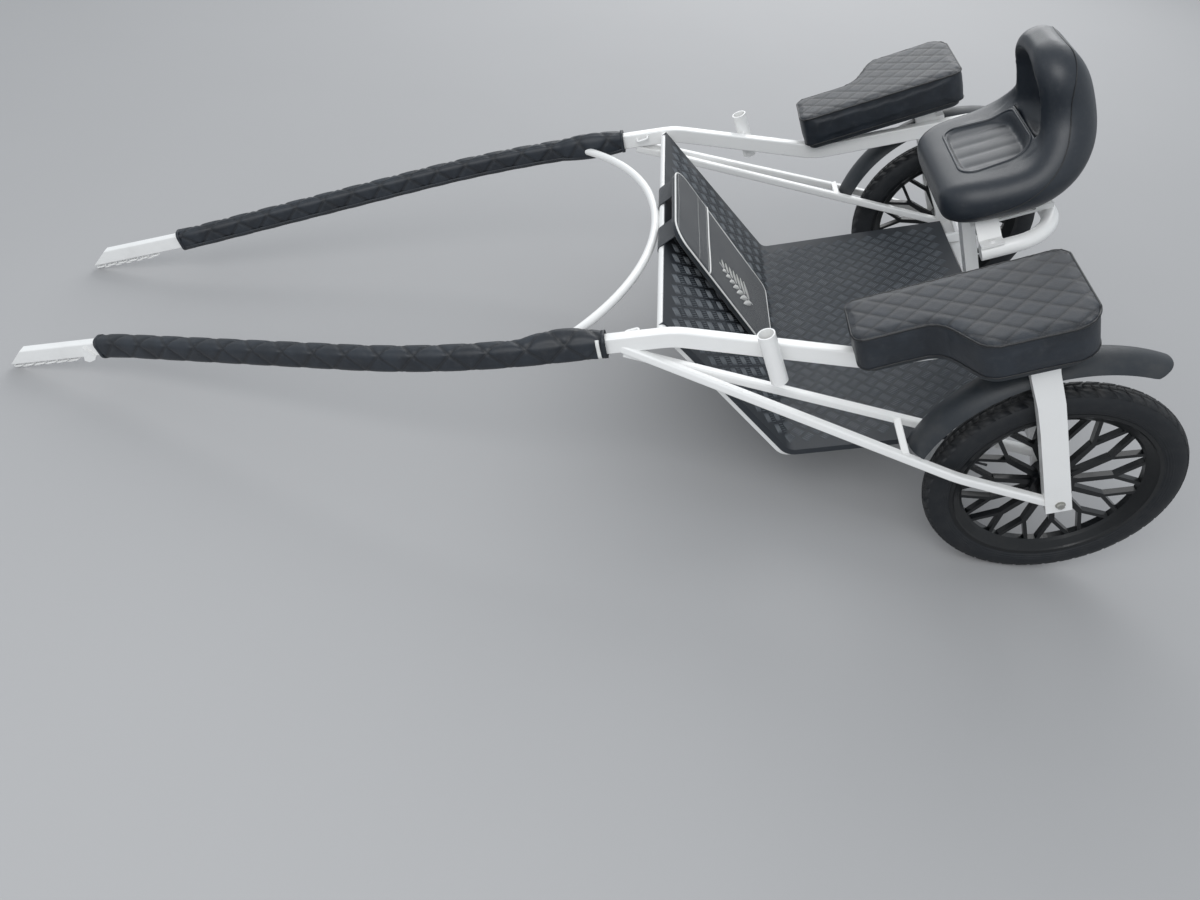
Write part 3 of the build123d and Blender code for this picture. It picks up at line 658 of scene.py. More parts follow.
def black_plastic():
    """Moulded mudguard plastic with a pebbled skin and road dust."""
    look = bpy.context.scene.cart_plate
    skin = Finish("mudguard_plastic", look.plastic_colour, Specular_IOR_Level=0.5)
    dust = skin.ramp(skin.noise(18, 6, 0.65), 0.4, 0.85)
    skin.colour(skin.blend(dust * 0.4, look.plastic_colour, (0.09, 0.088, 0.085)))
    skin.roughness(0.42 + 0.25 * dust)
    skin.relief((skin.cells(620, "SMOOTH_F1"), 0.08), (skin.noise(36, 3), 0.25))
    return skin.material


def wheel_enamel():
    """Gloss black enamel over a sand-cast alloy wheel."""
    look = bpy.context.scene.cart_wheels
    skin = Finish("cast_wheel_enamel", look.wheel_colour, Specular_IOR_Level=0.3, Coat_Weight=0.25,
                  Coat_Roughness=0.12)
    dust = skin.ramp(skin.noise(20, 5, 0.65), 0.45, 0.8)
    skin.colour(skin.blend(dust * 0.15, look.wheel_colour, (0.05, 0.048, 0.046)))
    skin.roughness(0.30 + 0.3 * dust)
    skin.relief((skin.noise(300, 4, 0.6), 0.10))
    return skin.material


def tyre_rubber():
    """Tyre rubber: ribbed walls, scuffed and dusty towards the tread."""
    look = bpy.context.scene.cart_wheels
    skin = Finish("road_tyre_rubber", look.rubber_colour, Specular_IOR_Level=0.4)
    x, _, z = skin.axes()
    radius = (x * x + z * z).root()
    crown = skin.ramp(radius, 262, 274)
    dust = skin.ramp(skin.noise(34, 6, 0.7), 0.35, 0.8) * (0.10 + 0.30 * crown)
    ribs = ((radius * (2 * math.pi / 5.0)).sine() * 0.5 + 0.5) * (1 - skin.ramp(radius, 236, 244))
    skin.colour(skin.blend(dust, look.rubber_colour, (0.105, 0.10, 0.094)))
    skin.roughness(0.62 + 0.25 * dust)
    skin.relief((ribs, 0.5), (skin.noise(420, 3), 0.08), (skin.noise(90, 4), 0.15))
    return skin.material


def zinc_steel():
    """Bright zinc plate on bolts, nuts and pins."""
    skin = Finish("zinc_plated_steel", (0.60, 0.60, 0.57), Metallic=1.0)
    cloudy = skin.noise(90, 4)
    skin.colour(skin.blend(cloudy, (0.62, 0.62, 0.58), (0.40, 0.39, 0.36)))
    skin.roughness(0.28 + 0.25 * cloudy)
    skin.relief((skin.noise(700, 2), 0.04))
    return skin.material


def floor_paint():
    """Plain pale grey studio floor, a little darker than the white tubes."""
    look = bpy.context.scene.cart_studio
    skin = Finish("studio_floor", look.floor_colour, Specular_IOR_Level=0.2)
    skin.colour(skin.blend(skin.noise(1.5, 3), look.floor_colour, [c * 0.97 for c in look.floor_colour]))
    skin.roughness(0.85 + 0.05 * skin.noise(3))
    return skin.material


FINISHES = {
    "white": white_paint,
    "quilt_map": lambda: leather("quilted_sleeve_vinyl", "map"),
    "quilt_top": lambda: leather("quilted_cushion_vinyl", "top"),
    "vinyl": lambda: leather("plain_vinyl", None),
    "seat": moulded_vinyl,
    "black_piping": lambda: piping_material("black_piping", (0.010, 0.011, 0.013), 0.28),
    "white_piping": lambda: piping_material("white_piping", (0.84, 0.84, 0.82), 0.45),
    "thread": lambda: piping_material("grey_thread", (0.10, 0.10, 0.105), 0.6),
    "cloth": lambda: bag_cloth("bag_nylon", 0.9),
    "webbing": lambda: bag_cloth("strap_webbing", 1.6),
    "plate": lambda: tread_plate("tread_plate_coat", 0.05),
    "bars": lambda: tread_plate("tread_bar_coat", 0.75),
    "plastic": black_plastic,
    "enamel": wheel_enamel,
    "rubber": tyre_rubber,
    "zinc": zinc_steel,
    "floor": floor_paint,
}


def finish_named(name):
    """The material of that name, made the first time it is asked for."""
    made = bpy.data.materials.get("look_" + name)
    if made is None:
        made = FINISHES[name]()
        made.name = "look_" + name
    return made


def dress(obj, finish, body="cart", slot=None, stands_for=()):
    """Gives a piece its finish, its body and the CAD nodes that it stands for."""
    obj.data.materials.clear()
    obj.data.materials.append(finish_named(finish))
    return place(obj, body, slot, stands_for)


def place(obj, body="cart", slot=None, stands_for=()):
    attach(obj, body)
    if stands_for:
        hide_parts(*stands_for)
    return obj


def paint_nodes(finish, *names):
    """Gives CAD nodes a finish."""
    for name in names:
        obj = frame["nodes"][name]
        obj.data.materials.clear()
        obj.data.materials.append(finish_named(finish))
        obj.data.polygons.foreach_set("use_smooth", [False] * len(obj.data.polygons))


# Repeated pieces, made by Geometry Nodes

class Grower(Net):
    """A Geometry Nodes tree with named inputs, a material last, which ends in real faces."""

    def __init__(self, name, inputs, takes_mesh=True):
        super().__init__(bpy.data.node_groups.new(name, "GeometryNodeTree"))
        face = self.tree.interface
        self.sockets = {}
        if takes_mesh:
            face.new_socket("Geometry", in_out="INPUT", socket_type="NodeSocketGeometry")
        for label, (kind, value) in {**inputs, "Material": ("Material", None)}.items():
            socket = face.new_socket(label, in_out="INPUT", socket_type="NodeSocket" + kind)
            if value is not None:
                socket.default_value = value
            self.sockets[label] = socket.identifier
        face.new_socket("Geometry", in_out="OUTPUT", socket_type="NodeSocketGeometry")
        self.given = self.node("NodeGroupInput")

    def number(self, label):
        return Value(self, self.given.outputs[label])

    def index(self):
        return Value(self, self.node("GeometryNodeInputIndex").outputs[0])

    def row(self, count, offset, start=(0, 0, 0)):
        """Points in a row."""
        return self.node("GeometryNodeMeshLine", {"mode": "OFFSET"}, {
            "Count": count, "Start Location": start, "Offset": offset}).outputs[0]

    def copies(self, points, shape, **placing):
        """A copy of the shape at each point, placed by its Rotation and Scale."""
        return self.node("GeometryNodeInstanceOnPoints", inputs={
            "Points": points, "Instance": shape, **placing}).outputs[0]

    def end(self, geometry):
        """Makes the copies real faces with the tree's material."""
        real = self.node("GeometryNodeRealizeInstances", inputs={0: geometry})
        painted = self.node("GeometryNodeSetMaterial", inputs={"Geometry": real.outputs[0],
                                                               "Material": self.given.outputs["Material"]})
        self.node("NodeGroupOutput", inputs={0: painted.outputs[0]})
        return self

    def grow(self, obj, finish, **values):
        """Runs the tree on an object and keeps the result as its plain mesh."""
        modifier = obj.modifiers.new("Repeat", "NODES")
        modifier.node_group = self.tree
        values["Material"] = finish_named(finish)
        for label, value in values.items():
            modifier[self.sockets[label.replace("_", " ")]] = value
        return baked(obj)


def bare_mesh(name, points=(), edges=()):
    """Loose points, or the edges between them, for a tree to grow on."""
    mesh = bpy.data.meshes.new(name)
    mesh.from_pydata([tuple(p) for p in points], edges, [])
    return linked(name, mesh)


def chain_tree():
    """Round-wire links by turns upright and flat, along X from the origin."""
    net = Grower("link_chain", {
        "Links": ("Int", 11), "Pitch": ("Float", 0.0179), "Length": ("Float", 0.0285),
        "Width": ("Float", 0.017), "Wire": ("Float", 0.005)}, takes_mesh=False)
    wire = net.number("Wire")
    length, width = net.number("Length") - wire, net.number("Width") - wire
    outline = net.node("GeometryNodeCurvePrimitiveQuadrilateral", inputs={"Width": length, "Height": width})
    bent = net.node("GeometryNodeFilletCurve", {"mode": "POLY"}, {
        "Curve": outline.outputs[0], "Count": 5, "Radius": width * 0.499})
    ring = net.node("GeometryNodeCurvePrimitiveCircle", {"mode": "RADIUS"}, {
        "Resolution": 8, "Radius": wire * 0.5})
    link = net.node("GeometryNodeCurveToMesh", inputs={
        "Curve": bent.outputs[0], "Profile Curve": ring.outputs["Curve"]})
    smooth_link = net.node("GeometryNodeSetShadeSmooth", inputs={0: link.outputs[0]})
    line = net.row(net.number("Links"), net.vector(X=net.number("Pitch")))
    odd = (net.index() * 0.5).fraction() * 2
    roll = net.vector(X=(1 - odd) * (math.pi / 2))
    return net.end(net.copies(line, smooth_link.outputs[0], Rotation=roll))


def around_tree():
    """Copies of one shape at even turns about the Y axis."""
    net = Grower("around_axle", {"Count": ("Int", 60)})
    line = net.row(net.number("Count"), (0, 0, 0))
    turn = net.vector(Y=net.index() * (2 * math.pi) / net.number("Count"))
    return net.end(net.copies(line, net.given.outputs["Geometry"], Rotation=turn))


def stitch_tree():
    """Short rounded threads along a line of edges."""
    net = Grower("stitch_row", {
        "Spacing": ("Float", 0.005), "Length": ("Float", 0.0034), "Thread": ("Float", 0.0009)})
    curve = net.node("GeometryNodeMeshToCurve", inputs={0: net.given.outputs["Geometry"]})
    even = net.node("GeometryNodeResampleCurve", {"mode": "LENGTH"}, {
        "Curve": curve.outputs[0], "Length": net.number("Spacing")})
    bead = net.node("GeometryNodeMeshIcoSphere", inputs={"Radius": 0.5, "Subdivisions": 1})
    smooth_bead = net.node("GeometryNodeSetShadeSmooth", inputs={0: bead.outputs[0]})
    along = net.node("FunctionNodeAlignRotationToVector", {"axis": "X"}, {
        "Vector": net.node("GeometryNodeInputTangent").outputs[0]})
    size = net.vector(X=net.number("Length"), Y=net.number("Thread"), Z=net.number("Thread"))
    return net.end(net.copies(even.outputs[0], smooth_bead.outputs[0],
                              Rotation=along.outputs[0], Scale=size))


def bolt_tree():
    """A hexagon head on a washer at each point, facing along the point's own axis."""
    net = Grower("hex_bolts", {"Across": ("Float", 0.017), "Head": ("Float", 0.007)})
    radius = net.number("Across") * 0.577
    washer = net.node("GeometryNodeMeshCylinder", inputs={
        "Vertices": 24, "Radius": net.number("Across") * 0.72, "Depth": net.number("Head") * 0.25})
    head = net.node("GeometryNodeMeshCone", inputs={
        "Vertices": 6, "Radius Top": radius * 0.93, "Radius Bottom": radius, "Depth": net.number("Head")})
    raised = net.node("GeometryNodeTransform", inputs={
        0: head.outputs[0], "Translation": net.vector(Z=net.number("Head") * 0.1)})
    both = net.node("GeometryNodeJoinGeometry")
    for part in (washer.outputs[0], raised.outputs[0]):
        net.tree.links.new(part, both.inputs[0])
    axis = net.node("GeometryNodeInputNamedAttribute", {"data_type": "FLOAT_VECTOR"}, {"Name": "axis"})
    facing = net.node("FunctionNodeAlignRotationToVector", {"axis": "Z"}, {"Vector": axis.outputs[0]})
    return net.end(net.copies(net.given.outputs["Geometry"], both.outputs[0], Rotation=facing.outputs[0]))


def tread_tree():
    """Raised bars in fives: square groups that stand on their corners, by turns lengthwise and across."""
    net = Grower("five_bar_field", {
        "Long": ("Float", 1.0), "Wide": ("Float", 0.9), "Pitch": ("Float", 0.031), "Bar": ("Float", 0.0265),
        "Gap": ("Float", 0.0056), "Width": ("Float", 0.0028), "Height": ("Float", 0.0014),
        "Margin": ("Float", 0.012)}, takes_mesh=False)
    pitch, gap, margin = net.number("Pitch"), net.number("Gap"), net.number("Margin")
    across = ((net.number("Long") + net.number("Wide")) * math.sqrt(0.5)) / pitch
    steps = across.of("FLOOR", across)
    grid = net.node("GeometryNodeMeshGrid", inputs={
        "Size X": steps * pitch, "Size Y": steps * pitch, "Vertices X": steps + 1, "Vertices Y": steps + 1})
    slanted = net.node("GeometryNodeTransform", inputs={
        0: grid.outputs["Mesh"], "Rotation": (0, 0, math.pi / 4)})
    x, y, _ = net.parts(net.node("GeometryNodeInputPosition").outputs[0])
    outside = ((abs(x) > net.number("Long") * 0.5 - margin) + (abs(y) > net.number("Wide") * 0.5 - margin))
    trimmed = net.node("GeometryNodeDeleteGeometry", {"domain": "POINT"}, {
        "Geometry": slanted.outputs[0], "Selection": outside > 0.5})
    bar = net.node("GeometryNodeMeshCone", {"fill_type": "NGON"}, {
        "Vertices": 6, "Radius Top": 0.32, "Radius Bottom": 0.5, "Depth": 1.0})
    size = net.vector(X=net.number("Bar"), Y=net.number("Width"), Z=net.number("Height"))
    five = net.copies(net.row(5, net.vector(Y=gap), net.vector(Y=gap * -2.0)), bar.outputs[0], Scale=size)
    group = net.node("GeometryNodeRealizeInstances", inputs={0: five})
    odd = ((y * math.sqrt(2) / pitch + 0.25) * 0.5).fraction() > 0.5
    turn = net.vector(Z=math.pi / 4 + odd * (math.pi / 2))
    return net.end(net.copies(trimmed.outputs[0], group.outputs[0], Rotation=turn))


def bolts(name, spots, across, finish, slot):
    """Hexagon bolts at (place, axis) pairs given in the driving attitude."""
    obj = bare_mesh(name, parked([p for p, _ in spots]))
    axes = obj.data.attributes.new("axis", "FLOAT_VECTOR", "POINT")
    turn = PARK.to_3x3()
    for item, (_, axis) in zip(axes.data, spots):
        item.vector = turn @ Vector(axis)
    bolt_tree().grow(obj, finish, Across=across * MM, Head=across * 0.42 * MM)
    return place(obj, "cart", slot)


def stitches(name, points, spacing, thread=0.9):
    """A row of stitches along points in the parked frame, still to be dressed."""
    obj = bare_mesh(name, points, [(i, i + 1) for i in range(len(points) - 1)])
    return stitch_tree().grow(obj, "thread", Spacing=spacing * MM, Length=spacing * 0.7 * MM,
                              Thread=thread * MM)


# Property groups

class CartPaint(bpy.types.PropertyGroup):
    frame_colour: FloatVectorProperty(name="Frame", description="Powder coat of the tubes", size=3,
                                      subtype="COLOR", default=(0.86, 0.86, 0.85))


class CartPadding(bpy.types.PropertyGroup):
    vinyl_colour: FloatVectorProperty(name="Vinyl", description="Colour of the vinyl", size=3,
                                      subtype="COLOR", default=(0.007, 0.010, 0.015))
    vinyl_light: FloatVectorProperty(name="Vinyl sheen", description="Paler clouds in the vinyl", size=3,
                                     subtype="COLOR", default=(0.016, 0.022, 0.031))
    seat_colour: FloatVectorProperty(name="Seat", description="Colour of the moulded seat", size=3,
                                     subtype="COLOR", default=(0.012, 0.016, 0.022))
    cushion_diamond: FloatVectorProperty(
        name="Cushion diamonds", description="Length and width of a diamond in mm", size=2,
        default=(62.0, 50.0))
    sleeve_diamond: FloatVectorProperty(
        name="Sleeve diamonds", description="Length and width of a diamond in mm", size=2,
        default=(86.0, 88.0))
    quilt_depth: FloatProperty(
        name="Sleeve quilting", description="Depth of the sleeves' seams in mm", default=4.6)
    cushion_depth: FloatProperty(
        name="Cushion quilting", description="Depth of the cushions' seams in mm", default=1.5)
    thread_width: FloatProperty(name="Thread", description="Half width of the stitching in mm", default=0.8)
    stitch_length: FloatProperty(name="Stitch", description="Length of one stitch in mm", default=5.0)


class CartPlate(bpy.types.PropertyGroup):
    plate_colour: FloatVectorProperty(name="Plate", description="Colour of the floor pan", size=3,
                                      subtype="COLOR", default=(0.012, 0.016, 0.022))
    plastic_colour: FloatVectorProperty(name="Mudguards", description="Colour of the mudguards", size=3,
                                        subtype="COLOR", default=(0.018, 0.023, 0.029))
    bar_pitch: FloatProperty(name="Group pitch", description="Distance between groups of bars", default=0.031,
                             unit="LENGTH")
    bar_height: FloatProperty(name="Bar height", description="Height of a raised bar", default=0.0013,
                              unit="LENGTH")


class CartWheels(bpy.types.PropertyGroup):
    wheel_colour: FloatVectorProperty(name="Wheels", description="Enamel of the cast wheels", size=3,
                                      subtype="COLOR", default=(0.004, 0.005, 0.006))
    rubber_colour: FloatVectorProperty(name="Rubber", description="Colour of the tyres", size=3,
                                       subtype="COLOR", default=(0.009, 0.011, 0.014))
    tread_blocks: IntProperty(name="Tread blocks", description="Blocks round one shoulder", default=50)


class CartBag(bpy.types.PropertyGroup):
    cloth_colour: FloatVectorProperty(name="Cloth", description="Colour of the bag", size=3,
                                      subtype="COLOR", default=(0.012, 0.016, 0.021))


class CartStudio(bpy.types.PropertyGroup):
    floor_colour: FloatVectorProperty(name="Floor", description="Colour of the studio floor", size=3,
                                      subtype="COLOR", default=(0.40, 0.40, 0.405))
    key_power: FloatProperty(name="Key light", description="Power of the soft key light", default=95.0,
                             unit="POWER")


GROUPS = {"cart_paint": CartPaint, "cart_padding": CartPadding, "cart_plate": CartPlate,
          "cart_wheels": CartWheels, "cart_bag": CartBag, "cart_studio": CartStudio}


# Operators

class CART_OT_stage(bpy.types.Operator):
    """Makes the camera at the photograph's angle, the soft lights and the grey floor"""
    bl_idname = "cart.stage"
    bl_label = "Stage"

    def execute(self, context):
        self.camera(context)
        self.lights(context)
        corners = [(-20, -20, 0), (20, -20, 0), (20, 20, 0), (-20, 20, 0)]
        floor = mesh_object("studio_floor", corners, [(0, 1, 2, 3)])
        floor.data.materials.append(finish_named("floor"))
        return {"FINISHED"}

    def camera(self, context):
        pitch, yaw, roll = (math.radians(a) for a in CAMERA_TURN_DEG)
        level = math.cos(pitch)
        forward = Vector((math.sin(yaw) * level, -math.cos(yaw) * level, -math.sin(pitch)))
        right = forward.cross(Vector((0, 0, 1))).normalized()
        down = forward.cross(right)
        turned_right = right * math.cos(roll) + down * math.sin(roll)
        turned_down = down * math.cos(roll) - right * math.sin(roll)
        data = bpy.data.cameras.new("photo_camera")
        data.lens = data.sensor_width * FOCAL_SHARE
        camera = linked("photo_camera", data)
        turn = Matrix((turned_right, -turned_down, -forward)).transposed()
        camera.matrix_world = Matrix.Translation(CAMERA_PLACE) @ turn.to_4x4()
        context.scene.camera = camera

    def lights(self, context):
        look = context.scene.cart_studio
        context.scene.view_settings.view_transform = "Standard"
        for name, spot, size, power in (
                ("key_light", (1.0, 3.2, 3.6), 3.0, look.key_power),
                ("sky_panel", (-1.0, -4.4, 3.4), 5.0, look.key_power * 1.7)):
            data = bpy.data.lights.new(name, "AREA")
            data.shape = "SQUARE"
            data.size = size
            data.energy = power
            lamp = linked(name, data)
            lamp.location = spot
            lamp.rotation_euler = (Vector((0, 0, 0.3)) - Vector(spot)).to_track_quat("-Z", "Y").to_euler()
        world = bpy.data.worlds.new("studio_world")
        world.use_nodes = True
        world.node_tree.nodes.clear()
        net = Net(world.node_tree)
        sky = net.node("ShaderNodeBackground", inputs={"Color": (0.90, 0.95, 1.0, 1), "Strength": 0.72})
        net.node("ShaderNodeOutputWorld", inputs={"Surface": sky.outputs[0]})
        context.scene.world = world


class CART_OT_frame(bpy.types.Operator):
    """Paints the tubes, legs, braces and brackets, and adds their bolts"""
    bl_idname = "cart.frame"
    bl_label = "Frame"

    kinds = {"white": ("shaft_l", "shaft_r", "bow", "crossbar", "outer_", "inner_", "axle_beam",
                       "beam_gusset", "leg_crown", "fork_strut", "floor_runner", "whip_holder", "seat_post",
                       "rear_loop", "seat_slide", "seat_bar", "tug_stop", "rein_staple"),
             "zinc": ("axle_pin",), "plastic": ("mudguard", "cushion_tray"), "plate": ("floor_pan",),
             "enamel": ("cast_wheel",), "webbing": ("bag_strap",)}
    seat_bolts = [(6, 30, 445.3), (4, 175, 393.5), (-128, 72, 399.5)]

    def execute(self, context):
        for finish, starts in self.kinds.items():
            paint_nodes(finish, *(n for n in frame["nodes"] if n.startswith(starts)))
        pins = [((0, s * AXLE_BOLT_Y, 0), (0, s, 0)) for _, s in SIDES]
        bolts("axle_bolts", pins, 15, "zinc", "zinc_steel")
        heads = [((x, s * y, z), (0, 0, 1)) for _, s in SIDES for x, y, z in self.seat_bolts]
        bolts("seat_bracket_bolts", heads, 11, "white", "white_paint")
        return {"FINISHED"}


class CART_OT_wheels(bpy.types.Operator):
    """Makes the tyres with their tread, and the valves of the cast wheels"""
    bl_idname = "cart.wheels"
    bl_label = "Wheels"

    wall = [(216.5, 22.3), (220, 24.5), (224, 26.8), (230, 29.6), (237, 31.6), (244, 32.0), (252, 31.2),
            (259, 28.6), (264.8, 24.9), (269.2, 19.7), (271.8, 13.6), (273.1, 7.0), (273.5, 0)]
    foot = [(214, -18), (212, 0), (214, 18)]
    valve_profile = [(0, 0), (4.2, 0), (4.2, 4), (3.0, 8), (2.7, 26), (3.2, 26.2), (3.2, 33), (0, 33.2)]
    shoulder = [(6.5, 0.00), (13, 0.20), (19, 0.36), (24.5, 0.46)]
    block_share, rib_share = 0.80, 0.44
    half_rib, block_height = 4.8, 3.4

    def execute(self, context):
        look = context.scene.cart_wheels
        profile = self.wall + [(r, -w) for r, w in reversed(self.wall[:-1])] + self.foot
        for name, s in SIDES:
            casing = turned("casing_" + name, profile, s * WHEEL_Y, 160)
            casing.data.materials.append(finish_named("rubber"))
            tread = self.tread(look, s)
            tyre = joined(f"road_tyre_{name}", [casing, tread])
            smooth(tyre)
            place(tyre, f"wheel_{name}", "tyre_rubber", [f"tyre_{name}"])
            self.valve(name, s)
        return {"FINISHED"}

    def crown(self, width):
        """Radius of the tread's face, which falls away from the tyre's middle."""
        return TYRE_RADIUS - 0.0105 * width ** 2 - 0.0000042 * width ** 4

    def tread(self, look, s):
        """Slanted shoulder blocks and a split centre rib, on a casing just below them."""
        vertices, faces = [], []
        step = math.radians(360 / look.tread_blocks)

        def edge(angle, width):
            face = self.crown(width)
            for radius in (face, face - self.block_height):
                vertices.append((radius * math.cos(angle), width, radius * math.sin(angle)))

        for way, shift in ((1, 0), (-1, 0.5)):
            start = len(vertices)
            for width, slant in self.shoulder:
                for side in (0, 1):
                    edge(step * (slant + self.block_share * side + shift), way * width)
            last = start + 4 * (len(self.shoulder) - 1)
            for a in range(start, last, 4):
                b = a + 4
                faces += [(a, a + 2, b + 2, b), (a + 1, a, b, b + 1), (a + 2, a + 3, b + 3, b + 2)]
            faces += [(start, start + 1, start + 3, start + 2), (last, last + 2, last + 3, last + 1)]
        for half in (0, 0.5):
            a = len(vertices)
            for side in (0, 1):
                for width in (-self.half_rib, self.half_rib):
                    edge(step * (half + self.rib_share * side), width)
            faces += [(a, a + 2, a + 6, a + 4), (a + 1, a, a + 4, a + 5), (a + 2, a + 3, a + 7, a + 6),
                      (a, a + 1, a + 3, a + 2), (a + 4, a + 6, a + 7, a + 5)]
        block = mesh_object("tread_block", [Vector(v) * MM for v in vertices], faces)
        around_tree().grow(block, "rubber", Count=look.tread_blocks)
        block.data.transform(PARK @ Matrix.Translation((0, s * WHEEL_Y * MM, 0)))
        return block

    def valve(self, name, s):
        """A rubber-footed valve through the rim's inner side."""
        angle = math.radians(SPOKE_GAP_DEG)
        vertices, faces = [], []
        ring = 10
        for r, h in self.valve_profile:
            for k in range(ring):
                turn = 2 * math.pi * k / ring
                vertices.append((r * math.cos(turn), r * math.sin(turn), h))
        for i in range(len(self.valve_profile) - 1):
            for k in range(ring):
                a, b = i * ring + k, i * ring + (k + 1) % ring
                faces.append((a, b, b + ring, a + ring))
        out = Vector((math.cos(angle), 0, math.sin(angle)))
        inward = (-out).to_track_quat("Z", "Y").to_matrix().to_4x4()
        base = Matrix.Translation(out * VALVE_RADIUS + Vector((0, s * WHEEL_Y, 0))) @ inward
        stem = mesh_object(f"valve_stem_{name}", parked([base @ Vector(v) for v in vertices]), faces)
        dress(stem, "rubber", f"wheel_{name}", "tyre_rubber")


class CART_OT_chains(bpy.types.Operator):
    """Makes the welded link chains under the shaft tips"""
    bl_idname = "cart.chains"
    bl_label = "Tip chains"

    def execute(self, context):
        tree = chain_tree()
        for name, s in SIDES:
            bend, tip = (Vector((x, s * y, z)) for x, y, z in SHAFT_LINE[-2:])
            run = (tip - bend).normalized()
            down = Vector((run.z, 0, -run.x)).normalized()
            first = tip + down * ((RAIL_HEIGHT + LINK_WIDTH) / 2) - run * (4 + LINK_LENGTH / 2)
            chain = bare_mesh(f"link_chain_{name}")
            tree.grow(chain, "white", Links=LINK_COUNT, Length=LINK_LENGTH * MM, Width=LINK_WIDTH * MM)
            sideways = run.cross(down)
            turn = Matrix((-run, sideways.cross(-run), sideways)).transposed().to_4x4()
            chain.data.transform(PARK @ Matrix.Translation(first * MM) @ turn)
            smooth(chain)
            place(chain, "cart", "white_paint", [f"tip_chain_{name}"])
        return {"FINISHED"}


class CART_OT_sleeves(bpy.types.Operator):
    """Makes the quilted shaft sleeves with their seams, hems, end bands and tag"""
    bl_idname = "cart.sleeves"
    bl_label = "Shaft sleeves"

    half_width, half_height, corner = 21.5, 29, 16.5
    quilt_rise, hem_rise = 0.8, 1.3
    # Where round the sleeve its seams are shallow: place, reach and share
    sheltered = ((35, 22, 0.7), (128, 13, 0.5))
    hem_heights, hem_out = (-24.0, -17.5), 23.4
    band_width, band_swell = 10, (1.045, 1.035)
    tag_run, tag_lift = (11, 23), 1.9

    def execute(self, context):
        look = context.scene.cart_padding
        for name, s in SIDES:
            line = rounded([(x, s * y, z) for x, y, z in SHAFT_LINE], SHAFT_RADII, 4)
            line = [p for p in line if SLEEVE_X[0] <= p.x <= SLEEVE_X[1]]
            self.cover(name, s, line, look)
        return {"FINISHED"}

    def section(self, steps):
        """Rounded rectangle round the tube, from the foot of its inner side."""
        w, h = self.half_width, self.half_height
        corners = [(-w, -h, 0), (w, -h, 0), (w, h, 0), (-w, h, 0)]
        outline = rounded(corners, [self.corner] * 4, 1.5, True)
        return evenly(outline, length_of(outline, True) / steps, True)

    def lift(self, flat, out, u, v, x, look):
        """How far the quilted cover stands in or out: seams pull in hardest where they cross."""
        along, across = look.sleeve_diamond
        pitch = along * across / math.hypot(along, across)
        one, two = (share * pitch for share in diamonds(u, v, along, across))
        pull = max(bell(p, 0, 5.0) * (0.35 + 0.65 * bell(q, 0, 26)) for p, q in ((one, two), (two, one)))
        pull = 0.85 * pull + 0.15 * bell(min(one, two), 0, 16)
        shelter = sum(share * bell(v, place, reach) for place, reach, share in self.sheltered)
        raised = self.quilt_rise - look.quilt_depth * pull * (1 - shelter)
        on_hem = flat.x < -17 and flat.y < -13
        on_top = flat.y > 22
        if on_hem:
            raised = self.hem_rise
        if on_top:
            raised -= 1.8 * bell(flat.x, -11, 2.2)
        inward = max(0.0, min(1.0, 0.2 - 1.1 * out.x + 0.5 * out.y))
        bulge = max(0.0, 1 - ((x - LUMP_X) / LUMP_REACH) ** 2)
        return raised + LUMP_HEIGHT * bulge * inward

    def cover(self, name, s, line, look):
        """One sleeve: its quilted cover, the bands at its ends and the stitched hem."""
        outline = self.section(72)
        steps = len(outline)
        wrap = round(length_of(outline, True) / look.sleeve_diamond[1]) * look.sleeve_diamond[1]
        vertices, uvs = [], []
        hems = {height: [] for height in self.hem_heights}
        bands = {"front": [], "rear": []}
        tag_rows = []
        walked, before = 0.0, line[0]
        total = length_of(line)
        for i, point in enumerate(line):
            walked += (point - before).length
            before = point
            ahead = (line[min(i + 1, len(line) - 1)] - line[max(i - 1, 0)]).normalized()
            sideways = (Vector((0, s, 0)) - ahead * ahead.y * s).normalized()
            up = Vector((0, 0, 1)) - ahead * ahead.z
            up = (up - sideways * up.dot(sideways)).normalized()
            end = min(walked, total - walked)
            pinch = 2.4 * max(0.0, 1 - end / 9.0) ** 2
            for k in range(steps + 1):
                flat = outline[k % steps]
                out = Vector((flat.x, flat.y, 0)).normalized()
                around = wrap * k / steps - 10
                raised = self.lift(flat, out, walked, around, point.x, look)
                at = flat + out * (min(raised, 0.4) - pinch if end < 11 else raised)
                vertices.append(point + sideways * at.x + up * at.y)
                uvs.append((walked * MM, around * MM))
            for height, row in hems.items():
                if end > 12:
                    row.append(point - sideways * self.hem_out + up * height)
            if self.tag_run[0] <= walked <= self.tag_run[1]:
                outer_side = [q for q in outline if q.x > 15]
                tag_rows.append([point + sideways * (q.x + self.tag_lift) + up * q.y for q in outer_side])
            if end < self.band_width:
                wider, higher = self.band_swell
                ring = [point + sideways * q.x * wider + up * q.y * higher for q in outline]
                ring.append(ring[0])
                bands["rear" if walked < total / 2 else "front"].append(ring)
        faces = grid_faces(len(line) - 1, steps)
        sleeve = mesh_object(f"quilted_sleeve_{name}", parked(vertices), faces, uvs)
        self.walled(sleeve, thickness=4)
        dress(sleeve, "quilt_map", "cart", "quilted_vinyl", [f"shaft_sleeve_{name}"])
        for where, rings in bands.items():
            self.band(f"sleeve_band_{where}_{name}", rings)
        cover = surface_of(sleeve)
        rows = [stitches(f"hem_{name}_{k}", laid_on(cover, parked(points), 0.3), spacing=5.5)
                for k, points in enumerate(hems.values())]
        dress(joined(f"sleeve_hem_stitches_{name}", rows), "thread", "cart", "quilted_vinyl")
        if s > 0:
            tag = self.sheet("sleeve_tag", tag_rows)
            self.walled(tag, thickness=0.5)
            dress(tag, "white_piping", "cart", "bag_cloth")

